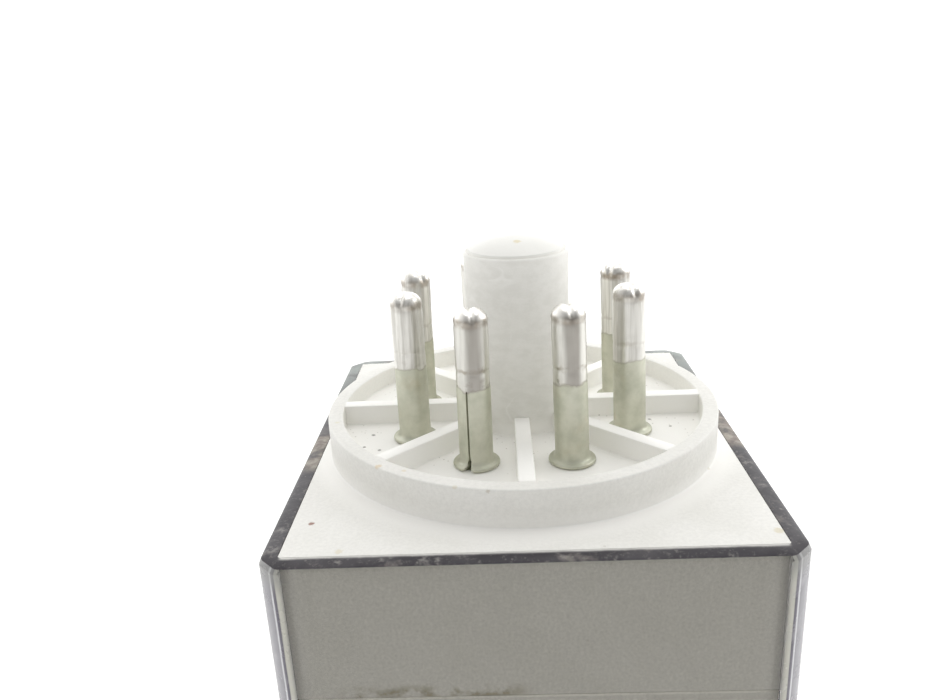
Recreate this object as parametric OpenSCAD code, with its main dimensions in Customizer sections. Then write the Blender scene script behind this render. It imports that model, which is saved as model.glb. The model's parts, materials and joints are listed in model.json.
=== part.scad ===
// Eight-pin octal plug-in relay with two changeover poles, standing on its cover, pins up.
// Origin: centre of the cover's closed outer face. +Z points from the cover to the pins,
// and the key of the centre post faces +Y. Millimetres.

/* [Cover] */
// Outside width of the clear cover, along X
cover_w = 33.2; // [32.8:0.1:34]
// Outside depth of the clear cover, along Y
cover_d = 37.2; // [37:0.1:38]
// Height of the clear cover, from its closed face to its rim
cover_h = 52; // [52:0.5:56]
// Thickness of the cover's side walls
cover_wall = 1.2; // [1:0.1:1.3]
// Thickness of the cover's closed end
cover_end = 1.3; // [1:0.1:1.6]
// Chamfer on the cover's upright corners
cover_corner = 1.2; // [0.8:0.1:1.4]
// Chamfer round the cover's closed end
cover_end_chamfer = 0.8; // [0.4:0.1:1]

/* [Base moulding] */
// Thickness of the base plate
plate_t = 2.8; // [2.4:0.1:3]
// Distance from the rim to the end of the base's skirt
skirt_depth = 10.3; // [7:0.1:10.4]
// Thickness of the skirt
skirt_t = 0.95; // [0.8:0.05:0.95]
// Outer radius of the ring wall round the pins
ring_r = 15; // [14.4:0.1:15.1]
// Thickness of the ring wall
ring_wall = 1.15; // [0.8:0.05:1.6]
// Height of the ring wall above the rim
ring_h = 2.8; // [2.2:0.1:3.4]
// Height of the raised floor inside the ring, above the rim
floor_h = 1.25; // [0.8:0.05:1.6]
// Number of radial ribs between the post and the ring
rib_count = 8; // [8:8:8]
// Thickness of a radial rib
rib_t = 1.1; // [0.8:0.1:1.6]

/* [Key post] */
// Diameter of the centre post
post_d = 7.8; // [7.6:0.1:8]
// Height of the post's edge above the rim
post_h = 14.7; // [14:0.1:15.5]
// Height of the shallow dome on the post
dome_h = 1.1; // [0.6:0.1:1.4]
// Width of the key on the post
key_w = 2; // [1.6:0.1:2.3]
// How far the key stands out of the post
key_out = 1.1; // [0.8:0.1:1.3]

/* [Plug pins] */
// Diameter of the circle through the pins' centres
pin_circle = 17.45; // [17.4:0.05:17.5]
// Diameter of a pin
pin_d = 2.36; // [2.3:0.02:2.4]
// Height of the pins' tips above the rim
pin_tip = 12.6; // [12:0.1:13]
// Thickness of the rolled pin's wall
pin_wall = 0.33; // [0.3:0.01:0.35]
// Diameter of the collar at a pin's foot
collar_d = 3.3; // [3:0.1:3.4]
// Height of the collar, to the end of its flare
collar_h = 0.8; // [0.6:0.1:1]
// Width of the seam along a pin
seam_w = 0.16; // [0.1:0.02:0.2]

/* [Coil] */
// Place of the coil's axis along Y
coil_y = 1.5; // [1.4:0.1:1.6]
// Diameter of the iron core
core_d = 7; // [6.6:0.1:7.2]
// Diameter of the pole face
pole_d = 9.6; // [8.8:0.2:9.8]
// Radius of the bobbin's flanges
bobbin_r = 9.3; // [8.9:0.1:9.4]
// Thickness of a bobbin flange
bobbin_t = 1; // [0.8:0.1:1.1]
// Outer radius of the winding
winding_r = 8.2; // [7:0.1:8.3]
// Thickness of the tape on the winding
tape_t = 0.2; // [0.1:0.05:0.3]

/* [Magnetic frame] */
// Thickness of the yoke's plate
yoke_t = 2; // [1.8:0.1:2]
// Width of the yoke
yoke_w = 17; // [16:0.5:17]
// Inner face of the yoke's leg, along Y
leg_y = 12; // [12:0.1:12]
// Height of the yoke's foot, at its face towards the base
foot_z = 40; // [40:0.1:40]

/* [Armature] */
// Angle between the released and the attracted armature
travel_deg = 3.2; // [3.2:0.1:3.2]
// Thickness of the armature's plate
armature_t = 1.6; // [1.4:0.1:1.6]
// Width of the armature's plate
armature_w = 15; // [13:0.5:15]

/* [Contacts] */
// Distance of each pole from the middle plane, along X
pole_x = 6; // [6:0.1:6]
// Place of the contacts along Y, with the armature attracted
contact_y = -11; // [-11:0.1:-11]
// Width of the contact strips
strip_w = 4; // [3.6:0.1:4]
// Thickness of the springy moving arms
arm_t = 0.3; // [0.2:0.05:0.3]
// Thickness of the fixed terminal strips
strip_t = 0.5; // [0.4:0.1:0.5]
// Radius of the moving contacts
contact_r = 1.3; // [1:0.1:1.5]

/* [Return spring] */
// Mean radius of the spring's turns
spring_r = 1.1; // [0.9:0.05:1.15]
// Radius of the spring's wire
spring_wire_r = 0.17; // [0.12:0.01:0.18]
// Number of turns
spring_turns = 12; // [8:1:13]

/* [Leads] */
// Radius of an insulated lead
lead_r = 0.5; // [0.3:0.05:0.6]
// Radius of the bare braid to a moving arm
braid_r = 0.45; // [0.3:0.05:0.5]

/* [Hidden] */
$fn = 64;
slack = 0.03;                 // clearance where one still part sits inside another
past = 1;                     // how far a cut runs past the face that it opens

// Cover and base levels
rim_z = cover_h;
inner_x = cover_w / 2 - cover_wall;
inner_y = cover_d / 2 - cover_wall;
inner_corner = 0.2;
plate_z = rim_z - plate_t;
skirt_z = rim_z - skirt_depth;
floor_z = rim_z + floor_h;
ring_z = rim_z + ring_h;
post_r = post_d / 2;
post_z = rim_z + post_h;
dome_sphere_r = (post_r * post_r + dome_h * dome_h) / (2 * dome_h);
post_core_r = 2.3;
post_core_end = 3;            // solid plastic left at the post's end
key_drop = 1.2;               // from the post's edge down to the key's end
boss_x = 12;                  // bosses for the frame screws
boss_r = 2.5;
boss_hole_r = 1.15;

// Pins
pin_r = pin_d / 2;
collar_r = collar_d / 2;
collar_edge = 0.25;           // upright edge of the collar
pin_bore_r = pin_r - pin_wall;
pin_root_r = pin_r + 0.02;    // shank inside the moulding
pin_tip_z = rim_z + pin_tip;
pin_tip_round = 0.75;
pin_fill = 6.6;               // solder inside the pin, down from its tip
inner_flare_r = 1.75;
inner_flare_t = 0.45;
seam_end = 6.2;               // the seam shows from the floor up to the solder
seam_gap_w = 0.38;            // the seam opens where it meets the collar
seam_gap_z = 0.4;
seam_gap_end = 1.1;
seam_turns = [20, 65, 115, 160, 0, -110, -70, -20]; // from straight outwards, for pins 1 to 8

// Magnet
attracted_z = 12;             // top of the attracted armature
leg_end_z = attracted_z + 0.05;
pole_z = attracted_z + 0.1;
pole_t = 1.2;
hinge_y = leg_y + yoke_t;
foot_under_z = foot_z - yoke_t;
foot_front_y = -12.8;
bobbin_z0 = pole_z + pole_t + 0.1;
bobbin_z1 = foot_under_z - 0.1;
barrel_r = core_d / 2 + 0.8;
core_tail_r = 2.5;
core_head_r = 3.2;
core_head_t = 0.9;
shade_outer_r = 2.9;
shade_inner_r = 2.2;
shade_depth = 0.9;
shade_shift = -1.6;
tape_margin = 0.4;
lug_x = 10.7;
lug_y = 6;
lug_r = 0.45;
lug_ear_half = 2;
lug_ear_out = 1.2;
lug_z0 = bobbin_z1 - 2.3;
lug_z1 = foot_z + 1.2;
ear_r = 2.6;

// Armature group, drawn attracted and then turned to its released place
armature_z = attracted_z - armature_t;
armature_front_y = -6.5;
tail_y = 16.4;
tail_w = 6;
spring_y = 15.4;
tail_hole_r = 0.5;
ear_clear = 0.2;
guide_t = 1.2;
guide_z = attracted_z + 2;
arm_z = armature_z - 1.2;     // lower face of the moving arms
bar_t = 1.6;
insulator_x = 8.4;
insulator_y0 = -8.6;
insulator_y1 = -1.6;
bar_inset = 0.4;
rivet_x = 2;
rivet_y = -4.5;
rivet_r = 0.8;
rivet_head_r = 1.4;
rivet_head_t = 0.4;
rivet_sink = 0.6;
arm_tip_y = -12.9;
arm_tab_x = 10.6;
arm_tab_y0 = -3.2;
arm_tab_y1 = -1.2;
button_t = 0.8;               // height of a contact's head
shank_r = 0.8;

// Fixed contacts
fixed_r = 1.4;
fixed_t = 0.85;
no_tip_z = arm_z + arm_t + button_t + 0.05;
nc_tip_z = 6.95;
no_strip_y = -14.1;           // outer faces of the upright strips
nc_strip_y = -16.1;
strip_inner_y = -9.4;
strip_top_z = foot_z + 1.2;
block_x = 10.2;
block_y0 = -16.9;
block_y1 = -8.4;
block_z0 = 30;
barrier_t = 1.2;
barrier_y1 = -9.1;
barrier_z0 = 4;
block_screw_x = 5.5;
block_screw_y = -10.6;

// Screws
screw_r = 1.2;
screw_head_r = 2;
screw_head_t = 1.3;
screw_slot_w = 0.6;
screw_slot_t = 0.6;
frame_screw_l = 8;
block_screw_l = 6.6;

// Liner inside the cover's front wall
liner_t = 0.2;
liner_z0 = 2.5;
liner_gap = 0.2;              // slit between the liner and the skirt
liner_margin = 0.25;

// Return spring
spring_z0 = 14.2;
spring_z1 = 25.2;
anchor_z = 27;
anchor_r = 0.7;
anchor_neck_r = 0.55;
anchor_head_r = 1;
anchor_neck_half = 0.45;
loop_r = anchor_neck_r + spring_wire_r + 0.02;
spring_ring_step = 30;        // degrees of turn between two rings of the sweep
spring_sides = 6;

// Leads, on the +X side. Each runs from its terminal into the bore of its pin.
lead_sides = 8;
lead_steps = 3;
lead_end_z = pin_tip_z - pin_fill - 0.3;
nc_route = [
    [6, -15.85, 41.3],
    [5.9, -15.2, 42.8],
    [5.1, -13, 45],
    [3.8, -9.6, 46.8],
];
no_route = [
    [7, -13.85, 41.3],
    [7.3, -13, 43],
    [8.2, -9.4, 45.4],
    [8.4, -5, 47],
];
coil_route = [
    [lug_x, lug_y, 41.3],
    [10.6, 5.8, 43],
    [9.6, 4.8, 45.6],
];
braid_route = [
    [9.7, -2.05, 8.7],
    [10.1, -2.2, 10],
    [11.9, -1.6, 14],
    [12.9, 0.5, 20],
    [12.9, 4.5, 27],
    [12.3, 8.6, 33],
    [11.2, 11, 39],
    [8.4, 12.2, 44],
    [4.8, 10, 47],
];

// ---------- helpers ----------

// A box from its lowest corner to its highest corner
module box_between(low, high) {
    translate(low)
        cube(high - low);
}

// Outline of a rectangle with chamfered corners, centred on the origin
function chamfered(half_x, half_y, c) = [
    [half_x - c, -half_y], [half_x, c - half_y], [half_x, half_y - c], [half_x - c, half_y],
    [c - half_x, half_y], [-half_x, half_y - c], [-half_x, c - half_y], [c - half_x, -half_y],
];

// A straight block with chamfered upright corners
module corner_block(half_x, half_y, c, z0, z1) {
    translate([0, 0, z0])
        linear_extrude(z1 - z0)
            polygon(chamfered(half_x, half_y, c));
}

// Side outline with both lower corners chamfered, from z = 0 up to h
function chamfered_below(half, h, c) = [
    [c - half, 0], [half - c, 0], [half, c], [half, h], [-half, h], [-half, c],
];

// Place of a pin: pin 1 is clockwise from the key, seen from the pins' side
function pin_angle(number) = 90 - 22.5 - 45 * (number - 1);
function pin_place(number) = pin_circle / 2 * [cos(pin_angle(number)), sin(pin_angle(number))];

// Turns the attracted armature group about the yoke's edge into its released place
module released() {
    translate([0, hinge_y, leg_end_z])
        rotate([travel_deg, 0, 0])
            translate([0, -hinge_y, -leg_end_z])
                children();
}

// Draws the children for the +X pole, or mirrored for the -X pole
module pole_side(left) {
    mirror([left ? 1 : 0, 0, 0])
        children();
}

function unit(v) = v / norm(v);

// Catmull-Rom curve through the points, with a number of steps for each span
function spline_point(a, b, c, d, t) =
    0.5 * (2 * b + (c - a) * t + (2 * a - 5 * b + 4 * c - d) * t * t + (3 * b - a - 3 * c + d) * t * t * t);
function spline(points, steps) = let (last = len(points) - 1) concat(
    [for (i = [0 : last - 1], s = [0 : steps - 1]) spline_point(
        points[max(i - 1, 0)], points[i], points[i + 1], points[min(i + 2, last)], s / steps)],
    [points[last]]
);

// Frames that turn as little as possible along a path
function tangents(path) = let (last = len(path) - 1)
    [for (i = [0 : last]) unit(path[min(i + 1, last)] - path[max(i - 1, 0)])];
function carried(normal, tangent) = unit(normal - (normal * tangent) * tangent);
function normals(dirs, start, i = 0) = let (n = carried(start, dirs[i]))
    i == len(dirs) - 1 ? [n] : concat([n], normals(dirs, n, i + 1));

// A round wire swept along a path
module wire(path, r, sides, start_normal = [0, 1, 0]) {
    dirs = tangents(path);
    outs = normals(dirs, start_normal);
    rings = len(path);
    skin = [for (i = [0 : rings - 1], k = [0 : sides - 1])
        let (a = 360 * k / sides)
        path[i] + r * (outs[i] * cos(a) + cross(dirs[i], outs[i]) * sin(a))];
    walls = [for (i = [0 : rings - 2], k = [0 : sides - 1])
        let (j = (k + 1) % sides)
        [i * sides + k, (i + 1) * sides + k, (i + 1) * sides + j, i * sides + j]];
    first_cap = [[for (k = [0 : sides - 1]) k]];
    last_cap = [[for (k = [sides - 1 : -1 : 0]) (rings - 1) * sides + k]];
    polyhedron(skin, concat(walls, first_cap, last_cap));
}

// ---------- cover and base ----------

module cover() {
    color([0.86, 0.88, 0.9, 0.35])
        difference() {
            intersection() {
                corner_block(cover_w / 2, cover_d / 2, cover_corner, 0, rim_z);
                translate([0, cover_d / 2, 0])
                    rotate([90, 0, 0])
                        linear_extrude(cover_d)
                            polygon(chamfered_below(cover_w / 2, rim_z, cover_end_chamfer));
                translate([-cover_w / 2, 0, 0])
                    rotate([90, 0, 90])
                        linear_extrude(cover_w)
                            polygon(chamfered_below(cover_d / 2, rim_z, cover_end_chamfer));
            }
            corner_block(inner_x, inner_y, inner_corner, cover_end, rim_z + past);
        }
}

module front_liner() {
    color([0.82, 0.81, 0.76])
        box_between(
            [liner_margin - inner_x, slack - inner_y, liner_z0],
            [inner_x - liner_margin, slack + liner_t - inner_y, skirt_z - liner_gap]);
}

module key_post() {
    intersection() {
        translate([0, 0, plate_z])
            cylinder(r = post_r, h = post_z + dome_h - plate_z);
        translate([0, 0, post_z + dome_h - dome_sphere_r])
            union() {
                sphere(r = dome_sphere_r, $fn = 128);
                mirror([0, 0, 1])
                    cylinder(r = post_d, h = post_z);
            }
    }
    box_between([-key_w / 2, 0, plate_z], [key_w / 2, post_r + key_out, post_z - key_drop]);
}

module ribs() {
    for (k = [0 : rib_count - 1])
        rotate(k * 360 / rib_count)
            box_between([0, -rib_t / 2, floor_z - slack], [ring_r - ring_wall / 2, rib_t / 2, ring_z]);
}

module ring_wall() {
    translate([0, 0, rim_z - slack])
        difference() {
            cylinder(r = ring_r, h = ring_h + slack, $fn = 128);
            translate([0, 0, floor_h])
                cylinder(r = ring_r - ring_wall, h = ring_h, $fn = 128);
        }
}

module skirt() {
    difference() {
        corner_block(inner_x - slack, inner_y - slack, inner_corner, skirt_z, rim_z);
        corner_block(inner_x - slack - skirt_t, inner_y - slack - skirt_t, inner_corner,
            skirt_z - past, plate_z);
    }
}

module bosses() {
    for (side = [-1, 1])
        translate([side * boss_x, 0, foot_z])
            cylinder(r = boss_r, h = plate_z - foot_z + slack);
}

module base() {
    color([0.9, 0.9, 0.88])
        difference() {
            union() {
                skirt();
                ring_wall();
                ribs();
                key_post();
                bosses();
            }
            for (number = [1 : 8])
                translate(concat(pin_place(number), plate_z - past))
                    cylinder(r = pin_r + slack, h = plate_t + floor_h + 2 * past);
            translate([0, 0, plate_z - past])
                cylinder(r = post_core_r, h = post_z - post_core_end - plate_z + past);
            for (side = [-1, 1])
                translate([side * boss_x, 0, foot_z - past])
                    cylinder(r = boss_hole_r + slack, h = frame_screw_l);
        }
}

// ---------- plug pins ----------

// Half section of a hollow pin: inner flare, collar, straight shell and rounded tip
function pin_section() = concat(
    [[pin_bore_r, plate_z - inner_flare_t], [inner_flare_r, plate_z - inner_flare_t],
     [inner_flare_r, plate_z], [pin_root_r, plate_z], [pin_root_r, floor_z],
     [collar_r, floor_z], [collar_r, floor_z + collar_edge]],
    [for (a = [15 : 15 : 90]) [
        collar_r - (collar_r - pin_r) * sin(a),
        floor_z + collar_h - (collar_h - collar_edge) * cos(a)]],
    [for (a = [0 : 15 : 90]) [
        pin_r - pin_tip_round * (1 - cos(a)), pin_tip_z - pin_tip_round * (1 - sin(a))]],
    [[0, pin_tip_z], [0, pin_tip_z - pin_fill], [pin_bore_r, pin_tip_z - pin_fill]]
);

// Outline of the seam seen from the side: a slit that opens into a gap at the collar
function seam_outline() = [
    [0, 0], [seam_gap_w / 2, seam_gap_z], [seam_w / 2, seam_gap_end], [seam_w / 2, seam_end],
    [-seam_w / 2, seam_end], [-seam_w / 2, seam_gap_end], [-seam_gap_w / 2, seam_gap_z],
];

module plug_pin(number) {
    color([0.78, 0.78, 0.72])
        translate(concat(pin_place(number), 0))
            difference() {
                rotate_extrude()
                    polygon(pin_section());
                rotate(pin_angle(number) + seam_turns[number - 1])
                    translate([pin_bore_r / 2, 0, floor_z])
                        rotate([90, 0, 90])
                            linear_extrude(collar_r)
                                polygon(seam_outline());
            }
}

// ---------- magnet ----------

module yoke() {
    color([0.62, 0.64, 0.66])
        difference() {
            union() {
                box_between([-yoke_w / 2, leg_y, leg_end_z], [yoke_w / 2, hinge_y, foot_z]);
                box_between([-yoke_w / 2, foot_front_y, foot_under_z], [yoke_w / 2, hinge_y, foot_z]);
                box_between([-boss_x, -ear_r, foot_under_z], [boss_x, ear_r, foot_z]);
                for (side = [-1, 1])
                    translate([side * boss_x, 0, foot_under_z])
                        cylinder(r = ear_r, h = yoke_t);
            }
            translate([0, coil_y, foot_under_z - past])
                cylinder(r = core_tail_r, h = yoke_t + 2 * past);
            for (side = [-1, 1]) {
                translate([side * boss_x, 0, foot_under_z - past])
                    cylinder(r = screw_r + slack, h = yoke_t + 2 * past);
                translate([side * block_screw_x, block_screw_y, foot_under_z - past])
                    cylinder(r = screw_r + slack, h = yoke_t + 2 * past);
            }
            translate([0, leg_y - past, anchor_z])
                rotate([-90, 0, 0])
                    cylinder(r = anchor_r, h = yoke_t + 2 * past);
        }
}

// Ring-shaped space of the shading ring in the pole face
module shade_space(extra, z1) {
    translate([0, coil_y + shade_shift, pole_z - extra])
        difference() {
            cylinder(r = shade_outer_r, h = z1 - pole_z + extra);
            translate([0, 0, -past])
                cylinder(r = shade_inner_r, h = z1 - pole_z + extra + 2 * past);
        }
}

module core() {
    color([0.7, 0.71, 0.73])
        difference() {
            translate([0, coil_y, 0]) {
                translate([0, 0, pole_z])
                    cylinder(d = pole_d, h = pole_t);
                translate([0, 0, pole_z])
                    cylinder(d = core_d, h = foot_under_z - pole_z);
                translate([0, 0, foot_under_z - slack])
                    cylinder(r = core_tail_r, h = yoke_t + slack);
                translate([0, 0, foot_z])
                    cylinder(r1 = core_head_r, r2 = core_tail_r, h = core_head_t);
            }
            shade_space(past, pole_z + shade_depth);
        }
}

module shading_ring() {
    color([0.72, 0.42, 0.26])
        shade_space(-0.02, pole_z + shade_depth);
}

module bobbin() {
    color([0.93, 0.92, 0.86])
        difference() {
            union() {
                for (z = [bobbin_z0, bobbin_z1 - bobbin_t])
                    translate([0, coil_y, z])
                        cylinder(r = bobbin_r, h = bobbin_t, $fn = 96);
                translate([0, coil_y, bobbin_z0])
                    cylinder(r = barrel_r, h = bobbin_z1 - bobbin_z0);
                box_between([-lug_x - lug_ear_out, lug_y - lug_ear_half, bobbin_z1 - bobbin_t],
                    [lug_x + lug_ear_out, lug_y + lug_ear_half, bobbin_z1]);
            }
            translate([0, coil_y, bobbin_z0 - past])
                cylinder(r = core_d / 2 + slack, h = bobbin_z1 - bobbin_z0 + 2 * past);
            for (side = [-1, 1])
                translate([side * lug_x, lug_y, bobbin_z1 - bobbin_t - past])
                    cylinder(r = lug_r, h = bobbin_t + 2 * past);
        }
}

// A sleeve round the coil's axis
module coil_sleeve(inner_r, outer_r, margin) {
    z0 = bobbin_z0 + bobbin_t + margin;
    z1 = bobbin_z1 - bobbin_t - margin;
    translate([0, coil_y, z0])
        difference() {
            cylinder(r = outer_r, h = z1 - z0, $fn = 96);
            translate([0, 0, -past])
                cylinder(r = inner_r, h = z1 - z0 + 2 * past, $fn = 96);
        }
}

module coil_winding() {
    color([0.66, 0.33, 0.16])
        coil_sleeve(barrel_r, winding_r, 0);
}

module coil_tape() {
    color([0.9, 0.78, 0.36])
        coil_sleeve(winding_r, winding_r + tape_t, tape_margin);
}

module coil_lug(left) {
    color([0.82, 0.8, 0.74])
        pole_side(left)
            translate([lug_x, lug_y, lug_z0])
                cylinder(r = lug_r, h = lug_z1 - lug_z0);
}

// ---------- armature group ----------

module armature() {
    color([0.66, 0.68, 0.7])
        released()
            difference() {
                union() {
                    box_between([-armature_w / 2, armature_front_y, armature_z],
                        [armature_w / 2, hinge_y - 0.1, attracted_z]);
                    box_between([-tail_w / 2, leg_y, armature_z], [tail_w / 2, tail_y, attracted_z]);
                    for (left = [false, true])
                        pole_side(left)
                            guide_ear();
                }
                for (side = [-1, 1])
                    translate([side * rivet_x, rivet_y, armature_z - past]) {
                        cylinder(r = rivet_r, h = armature_t + 2 * past);
                        translate([0, 0, past + armature_t - rivet_sink])
                            cylinder(r1 = rivet_r, r2 = rivet_head_r, h = rivet_sink);
                    }
                translate([0, spring_y, armature_z - past])
                    cylinder(r = tail_hole_r, h = armature_t + 2 * past);
            }
}

// Ear that keeps the armature from sliding sideways off the yoke's edge
module guide_ear() {
    edge_x = yoke_w / 2 + ear_clear;
    y0 = leg_y - 0.8;
    y1 = hinge_y + 0.6;
    box_between([armature_w / 2 - past, y0, armature_z], [edge_x + guide_t, hinge_y - 0.1, attracted_z]);
    box_between([edge_x, y0, armature_z], [edge_x + guide_t, y1, guide_z]);
}

module insulator_block(y0, y1, z0, z1) {
    released()
        difference() {
            box_between([-insulator_x, y0, z0], [insulator_x, y1, z1]);
            for (side = [-1, 1])
                translate([side * rivet_x, rivet_y, z0 - past])
                    cylinder(r = rivet_r, h = z1 - z0 + 2 * past);
        }
}

module arm_insulator() {
    color([0.28, 0.2, 0.16])
        insulator_block(insulator_y0, insulator_y1, arm_z + arm_t, armature_z);
}

module clamp_bar() {
    color([0.28, 0.2, 0.16])
        insulator_block(insulator_y0 + bar_inset, insulator_y1 - bar_inset, arm_z - bar_t, arm_z);
}

module armature_rivets() {
    color([0.8, 0.8, 0.78])
        released()
            for (side = [-1, 1])
                translate([side * rivet_x, rivet_y, 0]) {
                    translate([0, 0, arm_z - bar_t])
                        cylinder(r = rivet_r, h = attracted_z - arm_z + bar_t);
                    translate([0, 0, arm_z - bar_t - rivet_head_t])
                        cylinder(r1 = rivet_r, r2 = rivet_head_r, h = rivet_head_t);
                    translate([0, 0, attracted_z - rivet_sink])
                        cylinder(r1 = rivet_r, r2 = rivet_head_r, h = rivet_sink);
                }
}

module contact_arm(left) {
    tip_r = strip_w / 2;
    color([0.76, 0.56, 0.3])
        pole_side(left)
            released()
                difference() {
                    union() {
                        box_between([pole_x - strip_w / 2, arm_tip_y + tip_r, arm_z],
                            [pole_x + strip_w / 2, insulator_y1, arm_z + arm_t]);
                        translate([pole_x, arm_tip_y + tip_r, arm_z])
                            cylinder(r = tip_r, h = arm_t);
                        box_between([pole_x, arm_tab_y0, arm_z], [arm_tab_x, arm_tab_y1, arm_z + arm_t]);
                    }
                    translate([pole_x, contact_y, arm_z - past])
                        cylinder(r = shank_r, h = arm_t + 2 * past);
                }
}

// A contact head with a slightly domed face at +Z, its flat back at z = 0
module contact_head(r, h) {
    dome = 0.25;
    sphere_r = (r * r + dome * dome) / (2 * dome);
    intersection() {
        cylinder(r = r, h = h);
        translate([0, 0, h - sphere_r])
            sphere(r = sphere_r, $fn = 96);
    }
}

module moving_contact(left) {
    color([0.86, 0.86, 0.84])
        pole_side(left)
            released()
                translate([pole_x, contact_y, 0]) {
                    translate([0, 0, arm_z + arm_t])
                        contact_head(contact_r, button_t);
                    translate([0, 0, arm_z])
                        mirror([0, 0, 1])
                            contact_head(contact_r, button_t);
                    translate([0, 0, arm_z - slack])
                        cylinder(r = shank_r, h = arm_t + 2 * slack);
                }
}

// ---------- return spring ----------

module spring_anchor() {
    color([0.8, 0.8, 0.78])
        translate([0, leg_y + 0.4, anchor_z])
            rotate([-90, 0, 0]) {
                cylinder(r = anchor_r, h = spring_y - anchor_neck_half - leg_y - 0.4);
                cylinder(r = anchor_neck_r, h = spring_y + anchor_neck_half + slack - leg_y - 0.4);
                translate([0, 0, spring_y + anchor_neck_half - leg_y - 0.4])
                    cylinder(r = anchor_head_r, h = 0.5);
            }
}

// Centre line of the spring: end bent under the armature's tail, turns, loop on the anchor
function spring_path() = let (
    under_z = armature_z - spring_wire_r - 0.06,
    turn_rings = spring_turns * 360 / spring_ring_step)
    concat(
        [[0, spring_y - 1.1, under_z], [0, spring_y - 0.3, under_z], [0, spring_y, under_z + 0.3],
         [0, spring_y, attracted_z + 0.7], [spring_r * 0.55, spring_y, spring_z0 - 0.75]],
        [for (i = [0 : turn_rings]) let (a = i * spring_ring_step) [
            spring_r * cos(a), spring_y + spring_r * sin(a),
            spring_z0 + (spring_z1 - spring_z0) * i / turn_rings]],
        [[spring_r * 0.5, spring_y, spring_z1 + 0.65]],
        [for (a = [30 : 30 : 300]) [
            loop_r * sin(a), spring_y, anchor_z - loop_r * cos(a)]]
    );

module return_spring() {
    color([0.75, 0.76, 0.78])
        wire(spring_path(), spring_wire_r, spring_sides, [1, 0, 0]);
}

// ---------- fixed contacts ----------

module contact_block() {
    color([0.3, 0.22, 0.17])
        difference() {
            union() {
                box_between([-block_x, block_y0, block_z0], [block_x, block_y1, foot_under_z]);
                box_between([-barrier_t / 2, block_y0, barrier_z0], [barrier_t / 2, barrier_y1, block_z0 + past]);
            }
            for (side = [-1, 1]) {
                for (y = [no_strip_y, nc_strip_y])
                    translate([side * pole_x, y + strip_t / 2, foot_under_z / 2])
                        cube([strip_w + 2 * slack, strip_t + 2 * slack, foot_under_z + past], center = true);
                translate([side * block_screw_x, block_screw_y, foot_z - block_screw_l])
                    cylinder(r = screw_r, h = block_screw_l);
            }
        }
}

// An L-shaped strip: upright through the block, then turned in under or over the contact
module terminal(left, outer_y, foot_low_z) {
    color([0.8, 0.68, 0.4])
        pole_side(left)
            difference() {
                union() {
                    box_between([pole_x - strip_w / 2, outer_y, foot_low_z],
                        [pole_x + strip_w / 2, outer_y + strip_t, strip_top_z]);
                    box_between([pole_x - strip_w / 2, outer_y, foot_low_z],
                        [pole_x + strip_w / 2, strip_inner_y, foot_low_z + strip_t]);
                }
                translate([pole_x, contact_y, foot_low_z - past])
                    cylinder(r = shank_r, h = strip_t + 2 * past);
            }
}

module no_terminal(left) {
    terminal(left, no_strip_y, no_tip_z + fixed_t);
}

module nc_terminal(left) {
    terminal(left, nc_strip_y, nc_tip_z - fixed_t - strip_t);
}

// A riveted contact whose face points up (+1) or down (-1) and touches tip_z
module fixed_contact(left, facing, tip_z) {
    color([0.86, 0.86, 0.84])
        pole_side(left)
            translate([pole_x, contact_y, tip_z - facing * fixed_t])
                mirror([0, 0, facing < 0 ? 1 : 0]) {
                    contact_head(fixed_r, fixed_t);
                    translate([0, 0, -strip_t])
                        cylinder(r = shank_r, h = strip_t + slack);
                }
}

// ---------- screws ----------

// A slotted cheese-head screw along +Z, the underside of its head at z = 0
module screw(length) {
    difference() {
        union() {
            translate([0, 0, -screw_head_t])
                cylinder(r = screw_head_r, h = screw_head_t);
            cylinder(r = boss_hole_r, h = length);
        }
        translate([-screw_head_r - past, -screw_slot_w / 2, -screw_head_t - past])
            cube([2 * (screw_head_r + past), screw_slot_w, screw_slot_t + past]);
    }
}

module frame_screws() {
    color([0.8, 0.8, 0.78])
        for (side = [-1, 1])
            translate([side * boss_x, 0, foot_under_z])
                screw(frame_screw_l);
}

module block_screws() {
    color([0.8, 0.8, 0.78])
        for (side = [-1, 1])
            translate([side * block_screw_x, block_screw_y, foot_z])
                mirror([0, 0, 1])
                    screw(block_screw_l);
}

// ---------- leads ----------

// A lead from its route into the bore of a pin on the +X side, mirrored for the left side
module lead(left, route, number, r) {
    place = pin_place(number);
    into_pin = [for (z = [48.6, 50, 54, lead_end_z]) concat(place, z)];
    pole_side(left)
        wire(spline(concat(route, into_pin), lead_steps), r, lead_sides);
}

module coil_lead(left) {
    color([0.2, 0.3, 0.6])
        lead(left, coil_route, 2, lead_r);
}

module no_lead(left) {
    color([0.75, 0.15, 0.12])
        lead(left, no_route, 3, lead_r);
}

module nc_lead(left) {
    color([0.85, 0.85, 0.82])
        lead(left, nc_route, 4, lead_r);
}

module braid(left) {
    color([0.78, 0.45, 0.28])
        lead(left, braid_route, 1, braid_r);
}

// ---------- nodes ----------

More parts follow.
